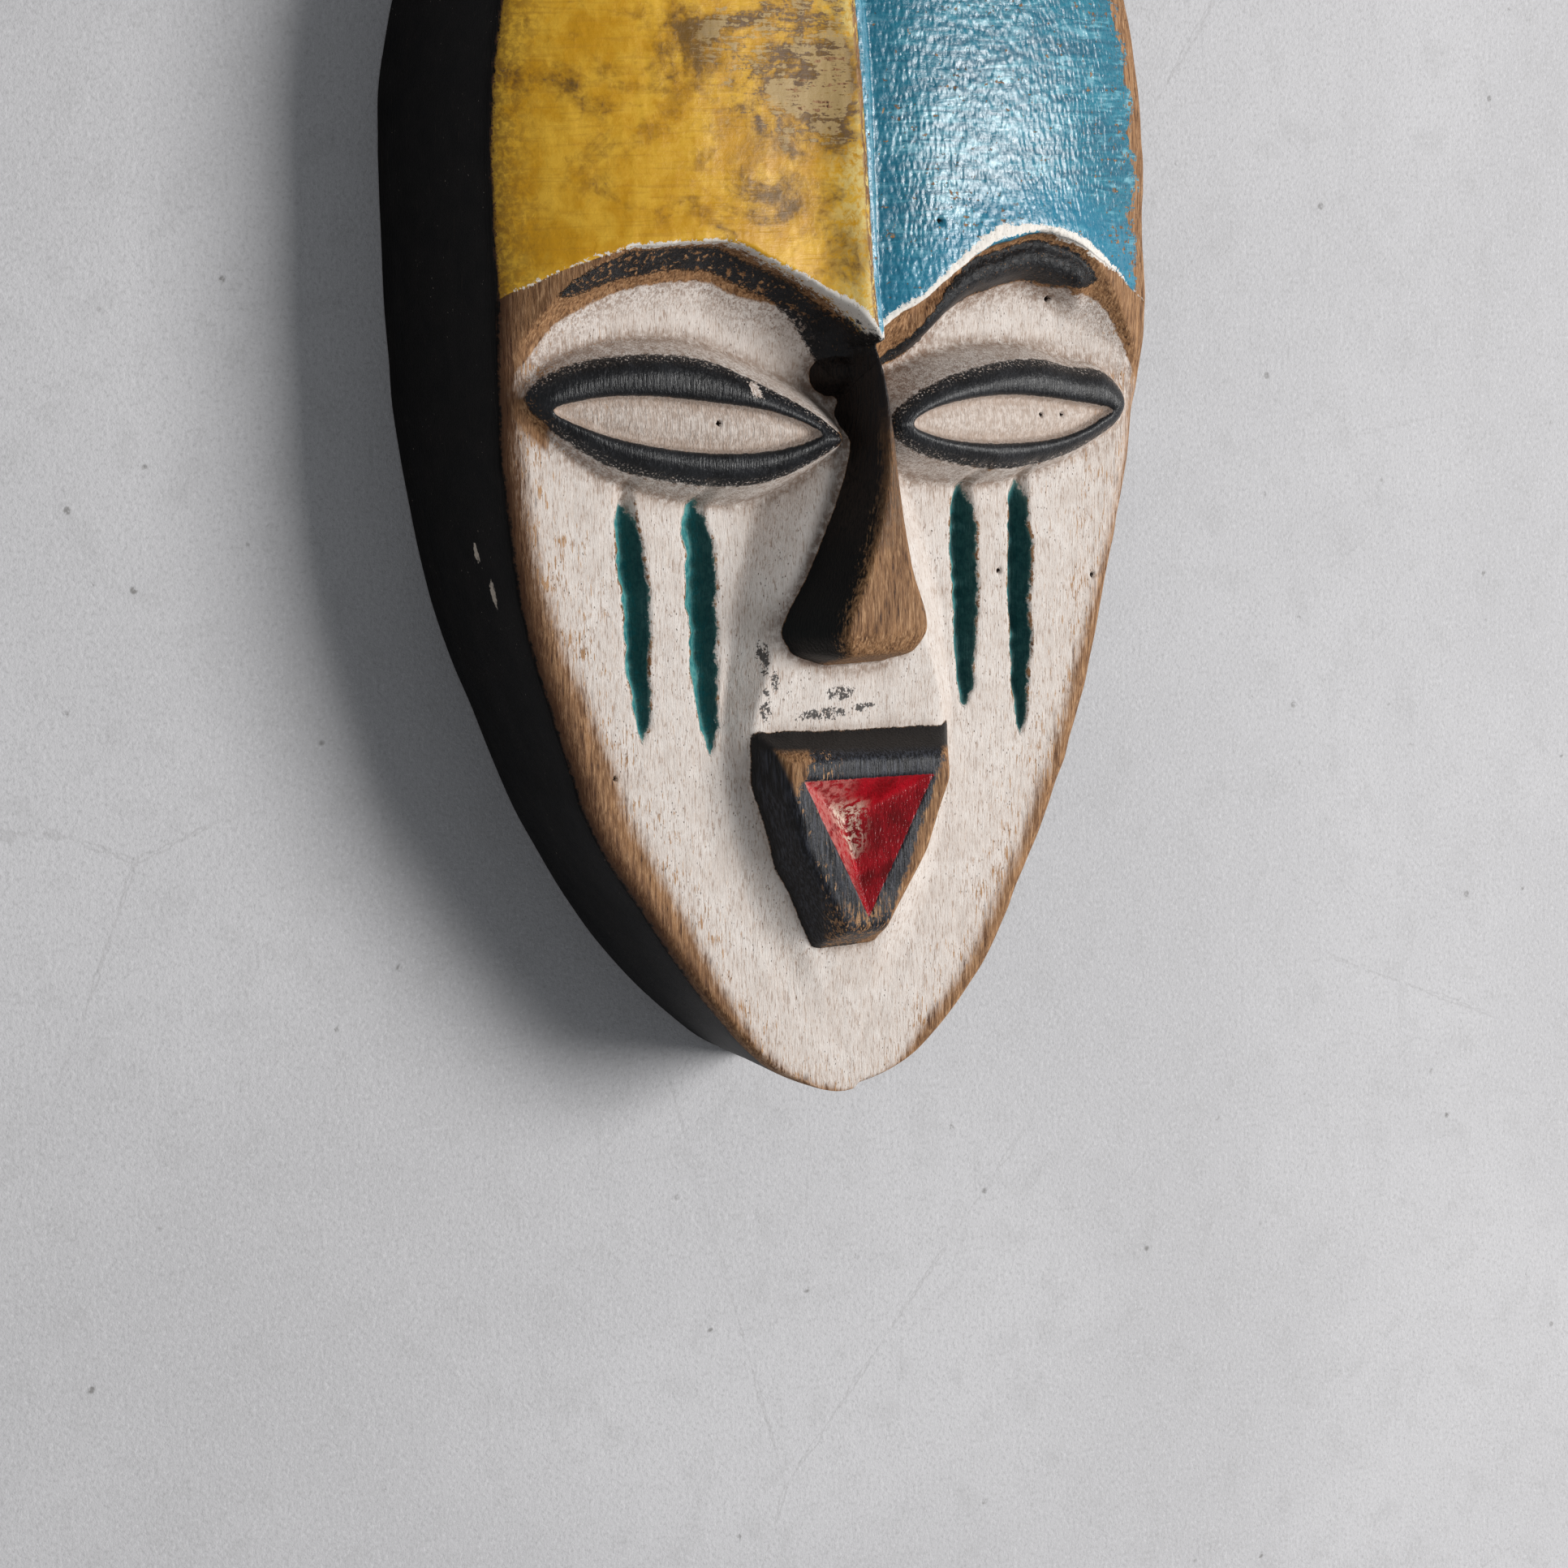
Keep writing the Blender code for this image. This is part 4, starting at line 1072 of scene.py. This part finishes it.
    # Painted light: the pit's left facet, which faces the light, is lightened, with pale chips
    lit_facet = mark.seam.ramp(0.0, -8.0)
    red = red.stain(lit_facet * ragged.ramp(0.36, 0.6), 190, 110, 104)
    floor_chips = mark.red.ramp(4.0, 8.0) * ragged.ramp(0.46, 0.56)
    red = red.stain(floor_chips * mark.seam.ramp(6.0, 1.0), 212, 188, 170)
    f.cover(border(mark.red, 0.6, 0.4, 0.12, 0.25), red, 0.22, 0.4)

    # Teal in the tear grooves
    teal = g.mix(ragged.ramp(0.4, 0.6), srgb(40, 114, 118), srgb(88, 154, 152))
    # Painted shade: each groove's right flank, and the grooves right of the seam, are darkened as they
    # face away from the light
    shaded = mark.flank + (jag * 1.6 + jag_fine * 0.6)
    shaded = shaded + mark.seam.ramp(-30.0, 30.0, 0.0, 0.35)
    teal = teal.stain(shaded.ramp(-0.3, 0.45) * 0.75, 22, 46, 46)
    teal = teal.stain(mark.groove.ramp(0.9, 0.1) * 0.6, 112, 140, 132)
    f.cover(border(mark.groove, 2.0, 1.1, 0.2, 0.35), teal, 0.5, 0.25)

    # Black crumbs left on the upper lip
    smear = 0.0
    for x, z, half_x, half_z in LIP_SMEARS:
        across = abs((mark.seam - (x - SEAM_X)) * (1.0 / half_x))
        along = abs((up - z) * (1.0 / half_z))
        reach = across ** 2.0 + along ** 2.0
        smear = g.either(smear, reach.ramp(1.6, 0.2))
    grit = ragged * 0.6 + (crumb * 0.4 + (smear - 1.0) * 0.12)
    smear = smear.ramp(0.02, 0.12) * grit.ramp(0.47, 0.5)
    f.cover(smear * 0.9, srgb(40, 38, 38), 0.6)

    # Painted shade: the beetle holes are painted dark to stand for the shade inside them
    for x, z, radius in HOLES:
        away = abs(mark.seam - (x - SEAM_X)) + abs(up - z)
        f.cover((away + jag_fine * 1.2).ramp(radius * 1.3, radius * 0.9), srgb(34, 22, 15), 0.8)

    # Black side walls and the bare back
    over = mark.edge * -1.0 + (jag * 3.4 + jag_fine * 1.2)
    over = over + (left * 1.6 + jag_long * 3.0)
    wall = over.ramp(0.4, 1.6) * (1.0 - mark.back)
    scratch = g.noise((2.4, 2.4, 0.05), 2.0, 0.5, 0.2, 51.0).ramp(0.7, 0.76)
    nick = crumb.ramp(0.7, 0.74) * patch.ramp(0.5, 0.6)
    # The side walls' black is darker than the front's: matte black with painted shade
    side_black_with_shade = g.mix(patch.ramp(0.3, 0.7), srgb(9, 8, 8), srgb(21, 18, 17))
    side_black_with_shade = side_black_with_shade.stain(scratch * 0.35, 84, 68, 56)
    for inset, z, size in SIDE_CHIPS:
        across = (abs(mark.edge + inset) * (1.0 / size)) ** 2.0
        along = (abs(up - z) * (0.5 / size)) ** 2.0
        away = across + along + (jag * 5.0 + jag_fine * 3.0)
        nick = g.either(nick, away.ramp(1.2, 0.8) * left)
    side_black_with_shade = side_black_with_shade.stain(nick, 190, 178, 164)
    f.cover(wall, side_black_with_shade, 0.5, 0.12)

    bare = g.mix(grain.ramp(0.3, 0.72), srgb(96, 68, 46), srgb(150, 116, 84))
    bare = bare.stain(fibre.ramp(0.55, 0.72) * 0.5, 60, 42, 30)
    bare = bare.stain(broad.ramp(0.45, 0.65) * 0.4, 84, 62, 44)
    f.cover(mark.back.ramp(0.4, 0.6), bare, 0.78)

    # Relief, from a few nodes only as a bump works its height out three times
    height = grain * 0.16 + fibre * 0.16
    paint = 0.22 - thread * 0.22 + crumb * 0.12
    paint = paint + fibre * 0.12 - speck * 0.28
    height = g.blend((mark.edge + jag_long * 11.0).ramp(1.0, 7.0), height, paint)
    gold = 0.4 + (scrape * 0.12 + ragged * 0.14)
    skin = 0.4 + (leather * 0.3 + (sweep * 0.1 + crumb * 0.08))
    skin = skin - chips * 0.2
    skin = g.blend(mark.seam.ramp(-0.4, 0.4), gold, skin)
    height = g.blend(mark.brow.ramp(0.2, -0.4), height, skin)
    coats = g.either(g.either(mark.lid, mark.nose), g.either(mark.mouth, mark.groove))
    coats = (coats + jag * 1.6).ramp(-0.1, 0.3)
    height = g.blend(coats, height, 0.5 + (hatch * 0.36 + crumb * 0.1))
    thick = (mark.stroke + jag * 3.4).ramp(-0.2, 0.2)
    height = g.blend(thick, height, 0.5 + (ragged * 0.7 + hatch * 0.18))
    height = g.blend(mark.edge.ramp(0.6, -0.6), height, 0.3 + hatch * 0.25)
    behind = grain * 0.3 + fibre * 0.2
    height = g.blend(mark.back.ramp(0.4, 0.6), height, behind)
    return g.finish(g.surface(f.colour, f.rough, height, specular=f.shine))


def metal(name, bright, dark, rough, brushed):
    """Worn metal: brushed along one way, tarnished in patches, with fine scratches."""
    g = Graph(name)
    tarnish = g.noise((0.5, 0.5, 0.5), 5.0, 0.65, 0.6, 3.0)
    brush = g.noise(brushed, 3.0, 0.6, 0.0, 7.0)
    pits = g.noise((4.0, 4.0, 4.0), 2.0, 0.5, 0.0, 11.0).ramp(0.66, 0.74)
    share = tarnish.ramp(0.42, 0.68)
    colour = g.mix(share, bright, dark)
    colour = colour.stain(pits * 0.6, 66, 52, 42)
    roughness = g.blend(share, rough, rough + 0.25) + brush * 0.12
    height = brush * 0.03 - pits * 0.05
    return g.finish(g.surface(colour, roughness, height, metal=1.0))


def assign(item, material):
    item.data.materials.clear()
    item.data.materials.append(material)


def wall_material():
    """Grey plaster with grit, pinholes and a few hair cracks, clear where it is seen from behind."""
    g = Graph("wall_plaster")
    cloud = g.noise((0.006, 0.006, 0.006), 5.0, 0.6, 0.4, 2.0)
    mottle = g.noise((0.07, 0.07, 0.07), 6.0, 0.7, 0.3, 4.0)
    grit = g.noise((0.8, 0.8, 0.8), 4.0, 0.7, 0.0, 8.0)
    pinholes = g.cells((0.07, 0.07, 0.07), offset=9.0).ramp(0.1, 0.05)
    crack = g.cells((0.0042, 0.0042, 0.0042), "DISTANCE_TO_EDGE", 6.0)
    crack = crack + (mottle - 0.5) * 0.03
    crack = abs(crack).ramp(0.0022, 0.0004) * cloud.ramp(0.46, 0.56)
    colour = g.mix(cloud.ramp(0.35, 0.65), srgb(194, 193, 195), srgb(202, 201, 203))
    colour = colour.stain(mottle.ramp(0.48, 0.7) * 0.45, 184, 183, 184)
    colour = colour.stain(grit.ramp(0.5, 0.68) * 0.5, 170, 169, 170)
    colour = colour.stain(grit.ramp(0.46, 0.34) * 0.5, 216, 215, 217)
    colour = colour.stain(pinholes * mottle.ramp(0.5, 0.6), 138, 136, 135)
    colour = colour.stain(crack * 0.2, 134, 131, 129)
    height = mottle * 0.3 + grit * 0.3
    front = g.surface(colour, 0.85, height, specular=0.2)
    clear = g.add("ShaderNodeBsdfTransparent", 0, {}, {})
    behind = g.add("ShaderNodeNewGeometry", "Backfacing", {}, {})
    return g.finish(g.add("ShaderNodeMixShader", 0, {}, {0: behind, 1: front, 2: clear}))


def stage():
    """The wall, open where the mask covers it so that the back can be seen from behind."""
    heights = np.linspace(TOP_Z - WALL_LAP, CHIN_Z + WALL_LAP, 160)
    gap = np.maximum(outlines(heights)[0] - WALL_LAP, 0.0)
    points = []
    quads = []
    for sign in (-1.0, 1.0):
        first = len(points)
        for height, half in zip(heights, gap):
            points += [(sign * WALL_HALF, height), (sign * half, height)]
        for k in range(first, len(points) - 2, 2):
            corners = (k, k + 2, k + 3, k + 1)
            quads.append(corners if sign < 0 else corners[::-1])
    for low, high in ((heights[0], WALL_HALF), (-WALL_HALF, heights[-1])):
        k = len(points)
        points += [(-WALL_HALF, low), (WALL_HALF, low), (WALL_HALF, high), (-WALL_HALF, high)]
        quads.append((k, k + 1, k + 2, k + 3))
    mesh = bpy.data.meshes.new("wall")
    mesh.from_pydata([(x * MM, WALL_Y * MM, z * MM) for x, z in points], [], quads)
    mesh.materials.append(wall_material())
    link("wall", mesh)


def area_light(name, place, size, power, colour):
    light = bpy.data.lights.new(name, "AREA")
    light.size = size
    light.energy = power
    light.color = colour
    item = link(name, light)
    item.location = place
    item.rotation_mode = "QUATERNION"
    item.rotation_quaternion = (Vector(LIGHT_AIM) - Vector(place)).to_track_quat("-Z", "Y")


def lighting():
    """A window to the viewer's right, a lamp behind the wall and the room's own light."""
    turn = math.radians(LIGHT_TURN)
    way = Vector((math.sin(turn), -math.cos(turn), 0.0))
    window = Vector(LIGHT_AIM) + way * LIGHT_DISTANCE
    area_light("window", window, LIGHT_SIZE, LIGHT_POWER, LIGHT_COLOUR)
    area_light("rear", REAR_PLACE, LIGHT_SIZE, REAR_POWER, REAR_COLOUR)
    world = bpy.data.worlds.new("room")
    world.use_nodes = True
    background = world.node_tree.nodes["Background"]
    background.inputs["Color"].default_value = FILL_COLOUR
    background.inputs["Strength"].default_value = FILL
    bpy.context.scene.world = world


def camera():
    """The photograph's point of view."""
    yaw, pitch, roll = (math.radians(a) for a in (CAMERA_YAW, CAMERA_PITCH, CAMERA_ROLL))
    level = Vector((math.sin(yaw), math.cos(yaw), 0.0))
    forward = level * math.cos(pitch) - Vector((0.0, 0.0, math.sin(pitch)))
    right = Vector((math.cos(yaw), -math.sin(yaw), 0.0))
    up = right.cross(forward)
    side = right * math.cos(roll) + up * math.sin(roll)
    over = up * math.cos(roll) - right * math.sin(roll)
    place = (Vector(CAMERA_AIM) - forward * CAMERA_DISTANCE) * MM
    columns = [(*side, 0.0), (*over, 0.0), (*(-forward), 0.0), (*place, 1.0)]
    data = bpy.data.cameras.new("camera")
    data.lens = CAMERA_LENS
    data.sensor_width = CAMERA_SENSOR
    item = link("camera", data)
    item.matrix_world = Matrix(columns).transposed()
    bpy.context.scene.camera = item


mask = carving()
mask.data.materials.append(painted_wood())
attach(mask, "mask")
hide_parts("mask_body")

steel = metal("plated_strip", srgb(176, 174, 168), srgb(120, 112, 100), 0.32, (0.3, 5.0, 5.0))
brass = metal("brass_wire", srgb(196, 160, 92), srgb(128, 96, 52), 0.3, (4.0, 4.0, 4.0))
zinc = metal("zinc_screws", srgb(170, 170, 172), srgb(112, 106, 100), 0.36, (5.0, 0.5, 0.5))
assign(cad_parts["hanger_strap"], steel)
assign(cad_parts["hanger_ring"], brass)
for node in ("hanger_screw_1", "hanger_screw_2"):
    assign(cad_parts[node], zinc)

ring = wire_ring()
ring.data.materials.append(brass)
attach(ring, "ring")
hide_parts("hanger_ring")

stage()
lighting()
camera()
bpy.context.scene.view_settings.view_transform = "Standard"
